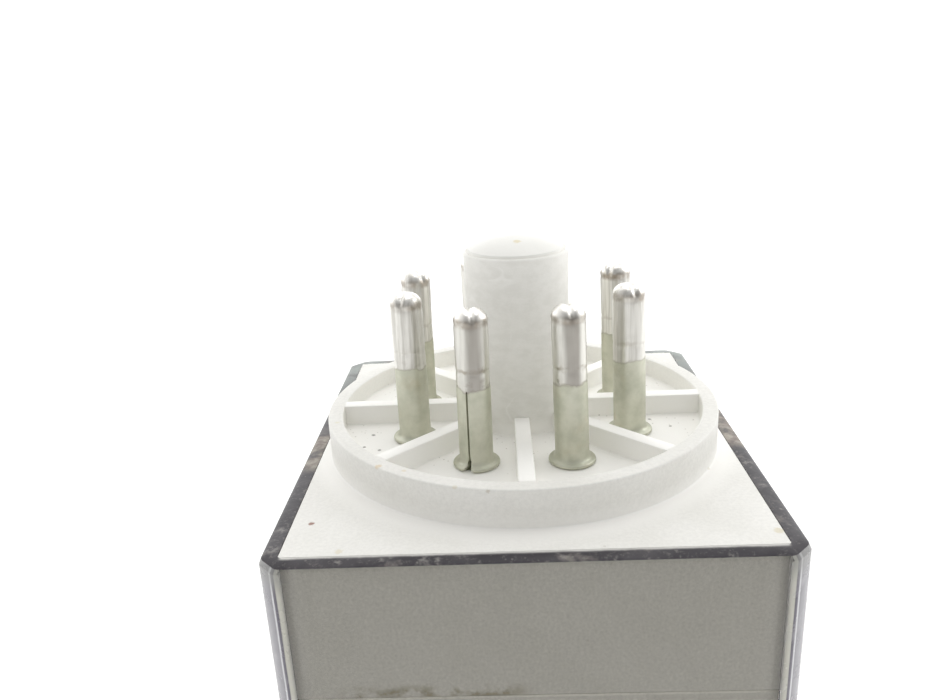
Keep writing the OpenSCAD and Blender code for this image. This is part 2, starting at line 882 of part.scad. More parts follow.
cover();
front_liner();
base();
plug_pin(1);  // pin_1
plug_pin(2);  // pin_2
plug_pin(3);  // pin_3
plug_pin(4);  // pin_4
plug_pin(5);  // pin_5
plug_pin(6);  // pin_6
plug_pin(7);  // pin_7
plug_pin(8);  // pin_8
yoke();
core();
shading_ring();
bobbin();
coil_winding();
coil_tape();
coil_lug(true);  // coil_lug_left
coil_lug(false);  // coil_lug_right
armature();
arm_insulator();
clamp_bar();
armature_rivets();
contact_arm(true);  // contact_arm_left
contact_arm(false);  // contact_arm_right
moving_contact(true);  // moving_contact_left
moving_contact(false);  // moving_contact_right
spring_anchor();
return_spring();
contact_block();
no_terminal(true);  // no_terminal_left
no_terminal(false);  // no_terminal_right
nc_terminal(true);  // nc_terminal_left
nc_terminal(false);  // nc_terminal_right
fixed_contact(true, -1, no_tip_z);  // no_contact_left
fixed_contact(false, -1, no_tip_z);  // no_contact_right
fixed_contact(true, 1, nc_tip_z);  // nc_contact_left
fixed_contact(false, 1, nc_tip_z);  // nc_contact_right
frame_screws();
block_screws();
coil_lead(true);  // coil_lead_left
coil_lead(false);  // coil_lead_right
no_lead(true);  // no_lead_left
no_lead(false);  // no_lead_right
nc_lead(true);  // nc_lead_left
nc_lead(false);  // nc_lead_right
braid(true);  // braid_left
braid(false);  // braid_right
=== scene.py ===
"""Looks of the plug in relay: camera, light, floor, materials and the detailed pieces."""

import json
import math
import random

import bmesh
import bpy
from mathutils import Matrix, Vector

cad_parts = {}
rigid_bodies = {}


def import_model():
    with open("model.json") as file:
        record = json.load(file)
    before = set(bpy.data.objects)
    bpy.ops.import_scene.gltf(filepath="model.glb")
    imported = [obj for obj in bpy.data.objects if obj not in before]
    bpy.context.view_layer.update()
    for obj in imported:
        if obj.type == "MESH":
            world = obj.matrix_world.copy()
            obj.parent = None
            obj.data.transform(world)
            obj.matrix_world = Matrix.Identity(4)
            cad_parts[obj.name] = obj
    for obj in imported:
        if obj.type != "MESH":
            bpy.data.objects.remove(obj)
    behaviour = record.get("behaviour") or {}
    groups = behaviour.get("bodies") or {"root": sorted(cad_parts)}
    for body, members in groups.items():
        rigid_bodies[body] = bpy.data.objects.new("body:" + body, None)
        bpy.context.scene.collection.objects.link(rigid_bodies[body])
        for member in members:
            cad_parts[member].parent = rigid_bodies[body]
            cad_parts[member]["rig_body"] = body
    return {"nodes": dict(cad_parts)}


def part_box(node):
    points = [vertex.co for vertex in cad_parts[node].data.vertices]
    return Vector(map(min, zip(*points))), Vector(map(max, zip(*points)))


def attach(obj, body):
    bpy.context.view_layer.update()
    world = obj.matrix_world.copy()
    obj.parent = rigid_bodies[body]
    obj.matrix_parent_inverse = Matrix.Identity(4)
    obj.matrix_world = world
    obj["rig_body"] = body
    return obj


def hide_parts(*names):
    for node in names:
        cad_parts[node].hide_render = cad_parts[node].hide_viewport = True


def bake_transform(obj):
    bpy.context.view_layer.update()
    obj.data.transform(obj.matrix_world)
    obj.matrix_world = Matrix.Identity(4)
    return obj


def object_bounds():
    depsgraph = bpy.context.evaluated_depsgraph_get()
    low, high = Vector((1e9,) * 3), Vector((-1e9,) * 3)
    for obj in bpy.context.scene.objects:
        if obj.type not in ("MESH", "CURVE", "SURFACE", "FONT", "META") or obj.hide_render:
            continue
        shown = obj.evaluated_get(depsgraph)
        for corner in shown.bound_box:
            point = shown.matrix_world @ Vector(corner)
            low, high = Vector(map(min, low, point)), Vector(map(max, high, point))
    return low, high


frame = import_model()
cad_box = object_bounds()
nodes = frame["nodes"]

MM = 0.001
SIDES = (("left", -1), ("right", 1))

# ---------- places taken from the CAD frame, and the sizes that part.scad gives ----------

BASE_LOW, BASE_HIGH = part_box("base")
LINER_LOW, LINER_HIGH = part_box("front_liner")
COVER_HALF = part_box("cover")[1].xy
INNER_HALF = BASE_HIGH.xy
COVER_CHAMFER = 1.2 * MM
CORNER_STRIP = 0.4 * MM  # flat beside each chamfer, with the corner's painted refraction lines
RIM_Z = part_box("cover")[1].z
SKIRT_Z = LINER_HIGH.z + 0.2 * MM
PLATE_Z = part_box("pin_5")[0].z + 0.45 * MM  # under the plate
FLOOR_Z = RIM_Z + 1.25 * MM
RING_TOP_Z = RIM_Z + 2.8 * MM
RING_R, RING_WALL = 15.0 * MM, 1.15 * MM
POST_R, POST_TOP_Z = 3.9 * MM, BASE_HIGH.z
PIN_CENTRES = {n: sum((Vector(c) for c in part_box(f"pin_{n}")), Vector()) / 2 for n in range(1, 9)}
PIN_TIP_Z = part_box("pin_5")[1].z
PIN_R, COLLAR_R = 1.18 * MM, 1.65 * MM
TIN_Z = RIM_Z + 7.05 * MM  # where the solder skin ends
TIN_RING = 1.3 * MM           # from there up to the dull ring that the solder left

# ---------- mesh helpers ----------


def new_object(name, data):
    """An object in the scene that shows the given data."""
    obj = bpy.data.objects.new(name, data)
    bpy.context.scene.collection.objects.link(obj)
    return obj


def add_mesh(name, verts, faces, material, body, slot, replaced=(), smooth_deg=35):
    """Makes a piece from vertices and faces, smooth except over edges sharper than smooth_deg."""
    mesh = bpy.data.meshes.new(name)
    mesh.from_pydata([tuple(v) for v in verts], [], faces)
    mesh.validate()
    return finish_piece(new_object(name, mesh), material, body, replaced, smooth_deg)


def finish_piece(obj, material, body, replaced=(), smooth_deg=35):
    """Closes up a piece: outward faces, smoothing, material, body and the nodes it replaces."""
    bm = bmesh.new()
    bm.from_mesh(obj.data)
    bmesh.ops.recalc_face_normals(bm, faces=bm.faces)
    bm.to_mesh(obj.data)
    bm.free()
    obj.data.polygons.foreach_set("use_smooth", [True] * len(obj.data.polygons))
    obj.data.set_sharp_from_angle(angle=math.radians(smooth_deg))
    for m in material if isinstance(material, (list, tuple)) else [material]:
        obj.data.materials.append(m)
    if body:
        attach(obj, body)
    if replaced:
        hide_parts(*replaced)
    return obj


def loft(rings):
    """Vertices and faces of a closed skin through rings, with a flat cap on each end."""
    sides = len(rings[0])
    verts = [p for ring in rings for p in ring]
    faces = [(i * sides + k, i * sides + (k + 1) % sides,
              (i + 1) * sides + (k + 1) % sides, (i + 1) * sides + k)
             for i in range(len(rings) - 1) for k in range(sides)]
    faces.append(tuple(reversed(range(sides))))
    faces.append(tuple(range((len(rings) - 1) * sides, len(rings) * sides)))
    return verts, faces


def join_shapes(shapes):
    """One vertex list and one face list from several closed shapes."""
    verts, faces = [], []
    for v, f in shapes:
        faces += [tuple(i + len(verts) for i in face) for face in f]
        verts += list(v)
    return verts, faces


def frames_along(path):
    """Two normals at each point of a path, turning as little as possible."""
    out = []
    normal = None
    last = len(path) - 1
    for i in range(len(path)):
        tangent = (path[min(i + 1, last)] - path[max(i - 1, 0)]).normalized()
        if normal is None:
            helper = Vector((0, 1, 0)) if abs(tangent.y) < 0.9 else Vector((1, 0, 0))
            normal = tangent.cross(helper).normalized()
        normal = (normal - normal.dot(tangent) * tangent).normalized()
        out.append((normal, tangent.cross(normal)))
    return out


def tube(path, radius, sides):
    """A round wire along a path."""
    turns = [2 * math.pi * k / sides for k in range(sides)]
    return loft([[p + radius * (n * math.cos(a) + b * math.sin(a)) for a in turns]
                 for p, (n, b) in zip(path, frames_along(path))])


def spline(points, steps):
    """Catmull-Rom curve through the points, as part.scad draws the leads."""
    pts = [Vector(p) for p in points]
    last = len(pts) - 1
    out = []
    for i in range(last):
        a, b, c, d = pts[max(i - 1, 0)], pts[i], pts[i + 1], pts[min(i + 2, last)]
        for s in range(steps):
            t = s / steps
            out.append(0.5 * (2 * b + (c - a) * t + (2 * a - 5 * b + 4 * c - d) * t * t
                              + (3 * b - a - 3 * c + d) * t ** 3))
    out.append(pts[last])
    return out


def lathe(profile, centre, sides, shape=None):
    """Turned solid from (r, z) points; shape(angle, r, z) may bend a point's radius."""
    rings = []
    for r, z in profile:
        ring = []
        for k in range(sides):
            a = 2 * math.pi * k / sides
            rr = shape(a, r, z) if shape else r
            ring.append(Vector((centre.x + rr * math.cos(a), centre.y + rr * math.sin(a), z)))
        rings.append(ring)
    return loft(rings)


def arc(centre_r, centre_z, radius, start_deg, end_deg, steps=5):
    """Points of a round in an outline."""
    turns = [math.radians(start_deg + (end_deg - start_deg) * i / steps) for i in range(steps + 1)]
    return [(centre_r + radius * math.cos(a), centre_z + radius * math.sin(a)) for a in turns]


def clamp(value):
    return min(max(value, 0.0), 1.0)


def bell(distance, width):
    """1 at no distance, falling smoothly to nothing past about two widths."""
    return math.exp(-(distance / width) ** 2)


def turn_between(a, b):
    """Signed angle from b to a, at most half a turn."""
    return math.atan2(math.sin(a - b), math.cos(a - b))


def polished(node, width, material):
    """A copy of a CAD node with its sharp edges bevelled, which stands for the node."""
    obj = new_object(node + "_finished", nodes[node].data.copy())
    obj.data.materials.clear()
    bm = bmesh.new()
    bm.from_mesh(obj.data)
    bmesh.ops.remove_doubles(bm, verts=bm.verts, dist=0.002 * MM)
    bmesh.ops.dissolve_limit(bm, angle_limit=math.radians(0.6), verts=bm.verts, edges=bm.edges)
    bm.to_mesh(obj.data)
    bm.free()
    bevel = obj.modifiers.new("edge", "BEVEL")
    bevel.width = width
    bevel.segments = 2
    bevel.limit_method = "ANGLE"
    bevel.angle_limit = math.radians(40)
    bevel.use_clamp_overlap = False
    graph = bpy.context.evaluated_depsgraph_get()
    rounded = bpy.data.meshes.new_from_object(obj.evaluated_get(graph))
    obj.modifiers.clear()
    obj.data = rounded
    return finish_piece(obj, material, nodes[node]["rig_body"], (node,), 20)


# ---------- material helpers ----------


class Tree:
    """A node material, with short calls for the nodes used here. Texture sizes, bump depths and the
    places of marks are in millimetres; heights and distances in ramps are in metres."""

    def __init__(self, name):
        self.material = bpy.data.materials.new(name)
        self.material.use_nodes = True
        self.tree = self.material.node_tree
        self.shader = self.tree.nodes["Principled BSDF"]
        self.place = self.node("ShaderNodeTexCoord").outputs["Object"]

    def node(self, kind, **values):
        made = self.tree.nodes.new(kind)
        for key, value in values.items():
            setattr(made, key, value)
        return made

    def link(self, source, target):
        if isinstance(source, bpy.types.NodeSocket):
            self.tree.links.new(source, target)
        else:
            target.default_value = source

    def set(self, **values):
        for key, value in values.items():
            self.link(value, self.shader.inputs[key.replace("_", " ")])

    def noise(self, size, detail=3, rough=0.55, stretch=None, distortion=0.0):
        """Noise from 0 to 1 with features about size across."""
        made = self.node("ShaderNodeTexNoise")
        made.inputs["Scale"].default_value = 1.0 / (size * MM)
        made.inputs["Detail"].default_value = detail
        made.inputs["Roughness"].default_value = rough
        made.inputs["Distortion"].default_value = distortion
        self.link(self.stretched(stretch) if stretch else self.place, made.inputs["Vector"])
        return made.outputs["Fac"]

    def stretched(self, factors):
        made = self.node("ShaderNodeMapping")
        made.inputs["Scale"].default_value = factors
        self.link(self.place, made.inputs["Vector"])
        return made.outputs["Vector"]

    def math(self, operation, a, b=0.0):
        made = self.node("ShaderNodeMath", operation=operation)
        self.link(a, made.inputs[0])
        self.link(b, made.inputs[1])
        return made.outputs[0]

    def times(self, product, *factors):
        for factor in factors:
            product = self.math("MULTIPLY", product, factor)
        return product

    def away(self, value, centre=0.0):
        """How far a value is from centre."""
        if centre:
            value = self.math("SUBTRACT", value, centre)
        return self.math("ABSOLUTE", value)

    def ramp(self, fac, low, high, out_low=0.0, out_high=1.0):
        """Smooth step of fac between low and high."""
        made = self.node("ShaderNodeMapRange", interpolation_type="SMOOTHSTEP")
        for key, value in (("Value", fac), ("From Min", low), ("From Max", high),
                           ("To Min", out_low), ("To Max", out_high)):
            self.link(value, made.inputs[key])
        return made.outputs["Result"]

    def patches(self, size, detail, low, high, out_low=0.0, out_high=1.0, **noise):
        """Noise of one size, with its middle range from low to high spread out."""
        return self.ramp(self.noise(size, detail, **noise), low, high, out_low, out_high)

    def wobble(self, size, amount, detail=3, **noise):
        """Noise about 0, at most half of amount either way."""
        return self.times(self.math("SUBTRACT", self.noise(size, detail, **noise), 0.5), amount)

    def mix(self, fac, a, b):
        made = self.node("ShaderNodeMix", data_type="RGBA")
        self.link(fac, made.inputs["Factor"])
        for value, target in ((a, made.inputs[6]), (b, made.inputs[7])):
            self.link(colour(value) if isinstance(value, tuple) else value, target)
        return made.outputs[2]

    def tint(self, base, shade, *strengths):
        """Base, turned to shade by the product of the strengths."""
        return self.mix(self.times(*strengths), base, shade)

    def axis(self, name):
        made = self.node("ShaderNodeSeparateXYZ")
        self.link(self.place, made.inputs[0])
        return made.outputs[name]

    def near(self, point, radius, edge=0.4):
        """1 close to a point, falling to 0 at radius; the outline is ragged."""
        made = self.node("ShaderNodeVectorMath", operation="DISTANCE")
        self.link(self.place, made.inputs[0])
        made.inputs[1].default_value = Vector(point) * MM
        ragged = self.times(self.noise(radius * 0.5, 4), radius * 0.9 * MM)
        reach = self.math("ADD", made.outputs["Value"], ragged)
        outer = 1.3 * radius * MM
        return self.ramp(reach, outer * (1 - edge), outer, 1.0, 0.0)

    def specks(self, size, share, radius):
        """Scattered dots: one in a share of the cells, with a radius in cells."""
        cells = self.node("ShaderNodeTexVoronoi")
        cells.inputs["Scale"].default_value = 1.0 / (size * MM)
        self.link(self.place, cells.inputs["Vector"])
        split = self.node("ShaderNodeSeparateColor")
        self.link(cells.outputs["Color"], split.inputs[0])
        chosen = self.math("LESS_THAN", split.outputs[0], share)
        dot = self.ramp(cells.outputs["Distance"], radius * 0.5, radius, 1.0, 0.0)
        return self.times(chosen, dot)

    def bump(self, height, depth, strength, normal=None):
        made = self.node("ShaderNodeBump")
        made.inputs["Distance"].default_value = depth * MM
        made.inputs["Strength"].default_value = strength
        self.link(height, made.inputs["Height"])
        if normal is not None:
            self.link(normal, made.inputs["Normal"])
        self.link(made.outputs["Normal"], self.shader.inputs["Normal"])
        return made.outputs["Normal"]


def colour(c):
    return (c[0], c[1], c[2], 1.0)


def moulded_plastic(name, body, shade, rough=0.5, marks=None):
    """Mottled colour, fine grain and specks; marks(t, base) may add stains of its own."""
    t = Tree(name)
    base = t.mix(t.patches(4.0, 3, 0.35, 0.7), body, shade)
    grain = t.patches(0.26, 5, 0.3, 0.72, 0.0, 0.4, rough=0.7)
    base = t.mix(grain, base, tuple(0.8 * c for c in shade))
    base = t.tint(base, (0.3, 0.26, 0.2), t.specks(1.1, 0.04, 0.12), 0.25)
    if marks:
        base = marks(t, base)
    t.set(Base_Color=base, Roughness=t.patches(1.2, 4, 0.2, 0.8, rough - 0.08, rough + 0.1))
    t.set(Specular_IOR_Level=0.4)
    fine = t.bump(t.noise(0.22, 4, 0.6), 0.012, 0.6)
    t.bump(t.noise(1.6), 0.04, 0.45, fine)
    return t.material


def metal(name, body, shade, rough=0.3, brush=(1, 1, 1), depth=0.004, tarnish=None):
    """Uneven colour and polish, with a grain that brush may stretch."""
    grain = 0.4
    t = Tree(name)
    base = t.mix(t.patches(3.0, 4, 0.3, 0.7), body, shade)
    if tarnish:
        base = t.tint(base, tarnish, t.patches(1.8, 5, 0.55, 0.75, rough=0.65), 0.7)
    t.set(Base_Color=base, Metallic=1.0)
    t.set(Roughness=t.patches(2 * grain, 4, 0.25, 0.8, rough - 0.08, rough + 0.14, stretch=brush))
    t.bump(t.noise(grain, stretch=brush), depth, 0.6)
    return t.material


def insulation(name, body, shade):
    """Coloured plastic round a lead."""
    t = Tree(name)
    base = t.mix(t.patches(2.5, 3, 0.35, 0.7), body, shade)
    t.set(Base_Color=base, Roughness=t.patches(1.2, 3, 0.3, 0.7, 0.3, 0.45))
    t.bump(t.noise(0.6), 0.015, 0.4)
    return t.material


# ---------- materials ----------


def clear_plastic():
    """Clear polycarbonate wall with rubbed patches and hairline scratches."""
    t = Tree("clear_wall")
    rubbed = t.patches(6.0, 5, 0.55, 0.8, rough=0.6)
    hairlines = t.patches(0.9, 2, 0.66, 0.72, stretch=(1.0, 1.0, 0.06))
    wear = t.math("MAXIMUM", t.times(rubbed, 0.5), t.times(hairlines, 0.35))
    tint = t.mix(rubbed, (0.84, 0.83, 0.80), (0.8, 0.79, 0.76))
    grain = t.patches(0.2, 3, 0.32, 0.68, rough=0.75)
    t.set(Base_Color=t.mix(grain, tint, (0.725, 0.715, 0.685)))
    t.set(Roughness=t.ramp(wear, 0.0, 1.0, 0.015, 0.16))
    t.set(Transmission_Weight=1.0, IOR=1.4)
    t.bump(t.noise(5.0, 2), 0.02, 0.2)
    return t.material


def corner_plastic():
    """The cover's upright corners, with painted reflections and refraction lines where the depth of the
    walls shows.
    """
    t = Tree("cover_corner")
    reach = COVER_CHAMFER + CORNER_STRIP
    lean = t.math("SUBTRACT", t.away(t.axis("X")), t.away(t.axis("Y")))
    across = t.math("DIVIDE", t.math("ADD", lean, reach + COVER_HALF[1] - COVER_HALF[0]), 2 * reach)
    # painted refraction, from the front or back face round to the side: pale edge, dark line, bright line,
    # grey
    stops = (
        (0.0, (0.36, 0.35, 0.32)), (0.05, (0.58, 0.57, 0.5)), (0.12, (0.6, 0.59, 0.52)),
        (0.15, (0.1, 0.092, 0.12)), (0.25, (0.11, 0.1, 0.135)),
        (0.28, (0.66, 0.66, 0.68)), (0.34, (0.7, 0.7, 0.72)),
        (0.37, (0.25, 0.243, 0.268)), (0.62, (0.31, 0.302, 0.33)), (0.8, (0.4, 0.393, 0.415)),
        (0.9, (0.55, 0.54, 0.545)), (1.0, (0.6, 0.59, 0.56)))
    lines = t.node("ShaderNodeValToRGB")
    t.link(t.math("ADD", across, t.wobble(4.0, 0.04)), lines.inputs[0])
    while len(lines.color_ramp.elements) < len(stops):
        lines.color_ramp.elements.new(0.5)
    for element, (place, shade) in zip(lines.color_ramp.elements, stops):
        element.position = place
        element.color = colour(shade)
    base = t.mix(t.patches(1.5, 4, 0.5, 0.75, 0.0, 0.3), lines.outputs[0], (0.52, 0.51, 0.53))
    # the painted lines turn greyer near the rim
    by_rim = t.ramp(t.axis("Z"), RIM_Z - 2.2 * MM, RIM_Z - 0.6 * MM, 0.0, 0.65)
    base = t.mix(by_rim, base, (0.3, 0.3, 0.28))
    t.set(Base_Color=base, Roughness=t.patches(1.0, 3, 0.3, 0.7, 0.12, 0.3), Transmission_Weight=0.12)
    t.bump(t.noise(1.2, stretch=(1, 1, 0.2)), 0.02, 0.4)
    return t.material


def foot_painted_light():
    """The rounded far end of the cover: painted light, a grey half-clear finish standing in for the light
    that passes through the clear end, which would otherwise render black.
    """
    t = Tree("cover_foot")
    foot_mottle = t.patches(3.0, 5, 0.35, 0.7, rough=0.65)
    t.set(Base_Color=t.mix(foot_mottle, (0.5, 0.5, 0.48), (0.68, 0.68, 0.66)))
    t.set(Roughness=t.ramp(foot_mottle, 0.0, 1.0, 0.3, 0.5), Transmission_Weight=0.45)
    t.bump(t.noise(0.5, 4), 0.015, 0.5)
    return t.material


# x, y and radius of the rim's chips, in millimetres
RIM_CHIPS = (
    (-11.6, -18.0, 0.5), (-9.0, -17.9, 0.4), (-6.4, -18.0, 0.7), (-5.6, -18.1, 0.5), (1.9, -18.1, 0.4),
    (-16.0, -16.5, 0.9), (-15.9, -14.2, 0.7), (15.9, -10.2, 0.6), (15.9, -6.8, 0.8))


def dark_rim():
    """The cover's rim: painted dark for the depth of the wall, lighter towards the back, with rubbed,
    chipped and dusty patches.
    """
    t = Tree("cover_rim")
    x, y = t.axis("X"), t.axis("Y")
    # painted shade and light: darkest at the front, lighter and greener towards the back
    rim_shade = t.mix(t.ramp(y, 4 * MM, 18 * MM), (0.03, 0.026, 0.032), (0.27, 0.3, 0.28))
    rim_shade = t.tint(rim_shade, (0.07, 0.064, 0.07), t.patches(2.4, 4, 0.4, 0.7), 0.7)
    # the two sides are rubbed halfway along, a little further forward on the left
    on_side = t.ramp(t.away(x), COVER_HALF[0] - 2.0 * MM, COVER_HALF[0] - 1.4 * MM)
    along = t.math("SUBTRACT", y, t.times(x, 0.055))
    halfway = t.ramp(t.away(along, -1.4 * MM), 2.6 * MM, 4.4 * MM, 1.0, 0.0)
    rubbed = t.times(on_side, halfway, t.patches(2.0, 4, 0.3, 0.55))
    chalk = t.times(t.patches(3.5, 5, 0.56, 0.68, rough=0.62, distortion=0.4), 0.35)
    worn = t.math("MAXIMUM", chalk, rubbed)
    sand = t.mix(t.patches(0.6, 5, 0.35, 0.65, rough=0.7), (0.25, 0.215, 0.2), (0.42, 0.39, 0.34))
    base = t.mix(worn, rim_shade, sand)
    base = t.mix(t.patches(0.35, 5, 0.52, 0.72, 0.0, 0.4, rough=0.75), base, (0.3, 0.29, 0.26))
    for chip_x, chip_y, radius in RIM_CHIPS:
        chip = t.near((chip_x, chip_y, RIM_Z / MM), radius, 0.6)
        base = t.tint(base, (0.42, 0.4, 0.37), chip, t.patches(0.3, 4, 0.4, 0.6, rough=0.7), 0.42)
    base = t.tint(base, (0.36, 0.34, 0.31), t.specks(0.4, 0.16, 0.26), 0.3)
    # the front rim is pale where it meets the plate
    inward = t.math("ADD", t.math("ADD", y, INNER_HALF[1] + 0.24 * MM), t.wobble(1.6, 0.2 * MM, 4))
    pale = t.times(t.ramp(inward, -0.12 * MM, 0.3 * MM), t.math("LESS_THAN", y, -14 * MM))
    between = t.ramp(t.away(x), INNER_HALF[0] - 0.3 * MM, INNER_HALF[0], 1.0, 0.0)
    base = t.tint(base, (0.8, 0.79, 0.75), pale, between)
    t.set(Base_Color=base, Roughness=t.ramp(worn, 0.0, 1.0, 0.38, 0.7), Specular_IOR_Level=0.25)
    t.bump(t.noise(0.3, 4), 0.02, 0.5)
    return t.material


def pin_metal():
    """Dull nickel below, tinned solder above a slightly uneven line, with what the dipping left, a painted
    highlight on the tip and a painted dark reflection down the front.
    """
    t = Tree("pin_metal")
    height = t.axis("Z")
    line = t.math("ADD", t.math("ADD", t.wobble(6.0, 1.4 * MM, 1), t.wobble(0.8, 0.7 * MM, 2)), TIN_Z)
    above = t.math("SUBTRACT", height, line)
    tinned = t.ramp(above, -0.06 * MM, 0.06 * MM)
    crown = t.ramp(height, PIN_TIP_Z - 0.75 * MM, PIN_TIP_Z - 0.4 * MM)
    nickel = t.mix(t.patches(1.4, 4, 0.35, 0.7), (0.60, 0.60, 0.50), (0.53, 0.54, 0.44))
    nickel = t.tint(nickel, (0.48, 0.42, 0.28), t.patches(2.2, 5, 0.55, 0.75, rough=0.6), 0.3)
    upright = t.patches(0.7, 4, 0.35, 0.7, stretch=(1, 1, 0.1))
    solder = t.mix(upright, (0.74, 0.73, 0.68), (0.56, 0.55, 0.51))
    # painted highlight: the solder is paler over the tip
    solder = t.tint(solder, (0.9, 0.88, 0.84), crown, 0.7)
    base = t.mix(tinned, nickel, solder)
    # dull line at the solder's edge, a ring above it, and blots between the two
    base = t.tint(base, (0.28, 0.25, 0.2), t.ramp(t.away(above), 0.0, 0.16 * MM, 1.0, 0.0), 0.45)
    ring = t.ramp(t.away(above, TIN_RING), 0.03 * MM, 0.2 * MM, 1.0, 0.0)
    base = t.tint(base, (0.36, 0.32, 0.26), ring, t.patches(1.2, 3, 0.4, 0.6, 0.0, 0.7))
    blots = t.times(t.patches(0.5, 3, 0.56, 0.68), t.ramp(above, 0.0, 1.5 * MM, 1.0, 0.0))
    base = t.tint(base, (0.34, 0.31, 0.27), blots, tinned, 0.6)
    # the outer pins are brighter, with fine upright lines
    outer = t.ramp(t.away(t.axis("X")), 5.0 * MM, 6.5 * MM)
    base = t.tint(base, (0.88, 0.87, 0.83), outer, tinned, 0.5)
    lines = t.patches(0.4, 3, 0.4, 0.62, 0.0, 0.5, rough=0.6, stretch=(1, 1, 0.05))
    base = t.tint(base, (0.4, 0.38, 0.34), lines, outer, tinned)
    # painted reflection: a dark streak down the front of each pin
    facing = t.node("ShaderNodeVectorMath", operation="DOT_PRODUCT")
    t.link(t.node("ShaderNodeTexCoord").outputs["Normal"], facing.inputs[0])
    facing.inputs[1].default_value = Vector((0.12, -0.98, 0)).normalized()
    front = t.math("ADD", facing.outputs["Value"], t.wobble(0.9, 0.22, 3, stretch=(1, 1, 0.12)))
    painted_reflection = t.times(t.math("POWER", t.ramp(front, 0.74, 0.99), 1.5), t.math("SUBTRACT", 1.0, crown))
    strength = t.times(t.ramp(outer, 0.0, 1.0, 1.0, 0.3), t.ramp(tinned, 0.0, 1.0, 0.1, 0.8))
    base = t.tint(base, (0.27, 0.25, 0.225), painted_reflection, strength)
    # brown patchy band under the lobes of the tip
    under = t.ramp(t.away(height, PIN_TIP_Z - 0.85 * MM), 0.12 * MM, 0.45 * MM, 1.0, 0.0)
    lobe_band = t.times(under, t.patches(0.7, 4, 0.35, 0.6, 0.25, 0.9))
    base = t.tint(base, (0.3, 0.25, 0.2), lobe_band, t.patches(6.0, 2, 0.35, 0.6, 0.5, 0.95))
    t.set(Base_Color=base, Metallic=t.ramp(tinned, 0.0, 1.0, 0.85, 1.0))
    rough = t.node("ShaderNodeMix", data_type="FLOAT")
    t.link(tinned, rough.inputs[0])
    t.link(t.patches(0.7, 4, 0.3, 0.7, 0.4, 0.55), rough.inputs[2])
    t.link(t.patches(0.9, 4, 0.3, 0.75, 0.28, 0.42), rough.inputs[3])
    t.set(Roughness=rough.outputs[0])
    grain = t.bump(t.noise(0.2), 0.006, 0.5)
    t.bump(t.noise(1.3), 0.03, 0.4, grain)
    return t.material


def liner_card():
    """Plain card behind the front wall, with painted light making it paler by the corners, and a pale line
    along its top.
    """
    t = Tree("liner_card")
    base = t.mix(t.patches(2.0, 4, 0.3, 0.7), (0.82, 0.81, 0.76), (0.78, 0.77, 0.72))
    base = t.tint(base, (0.74, 0.73, 0.68), t.patches(0.3, 3, 0.4, 0.7), 0.3)
    # painted light: paler by the corners, lifting the shade that the cover's corners cast
    painted_corner_light = t.ramp(t.away(t.axis("X")), 13.4 * MM, 15.2 * MM, 0.0, 0.85)
    base = t.mix(painted_corner_light, base, (0.97, 0.96, 0.92))
    # a pale line along the top
    top_line = t.ramp(t.axis("Z"), SKIRT_Z - 0.2 * MM, SKIRT_Z - 0.16 * MM)
    base = t.tint(base, (1.0, 0.99, 0.93), top_line, t.patches(3.0, 3, 0.3, 0.6, 0.6, 1.0))
    t.set(Base_Color=base, Roughness=t.patches(1.0, 3, 0.3, 0.7, 0.6, 0.75))
    t.bump(t.noise(0.2), 0.01, 0.5)
    return t.material


def tape_material():
    """Amber film round the winding, darker where its turns overlap."""
    t = Tree("amber_tape")
    turn = 5.5 * MM
    bands = t.math("SINE", t.times(t.axis("Z"), 2 * math.pi / turn))
    base = t.mix(t.ramp(bands, 0.85, 1.0), (0.72, 0.5, 0.12), (0.56, 0.35, 0.07))
    base = t.mix(t.patches(2.8, 4, 0.45, 0.7), base, (0.6, 0.38, 0.08))
    t.set(Base_Color=base, Roughness=t.patches(1.5, 3, 0.3, 0.7, 0.18, 0.34), Coat_Weight=0.4)
    t.bump(t.math("ADD", t.ramp(bands, 0.8, 0.95), t.noise(3.0, stretch=(1, 1, 0.3))), 0.04, 0.5)
    return t.material


def winding_material():
    """Fine enamelled wire, wound turn by turn, with painted shade in the grooves between the turns."""
    t = Tree("winding_copper")
    wire = 0.16 * MM
    turns = t.math("SINE", t.times(t.axis("Z"), 2 * math.pi / wire))
    # painted shade between the turns, lighter on their crowns
    base = t.mix(t.ramp(turns, -1.0, 0.6), (0.28, 0.08, 0.03), (0.72, 0.31, 0.14))
    t.set(Base_Color=base, Metallic=0.9, Roughness=t.patches(0.6, 3, 0.3, 0.7, 0.22, 0.38))
    t.bump(turns, 0.04, 0.8)
    return t.material


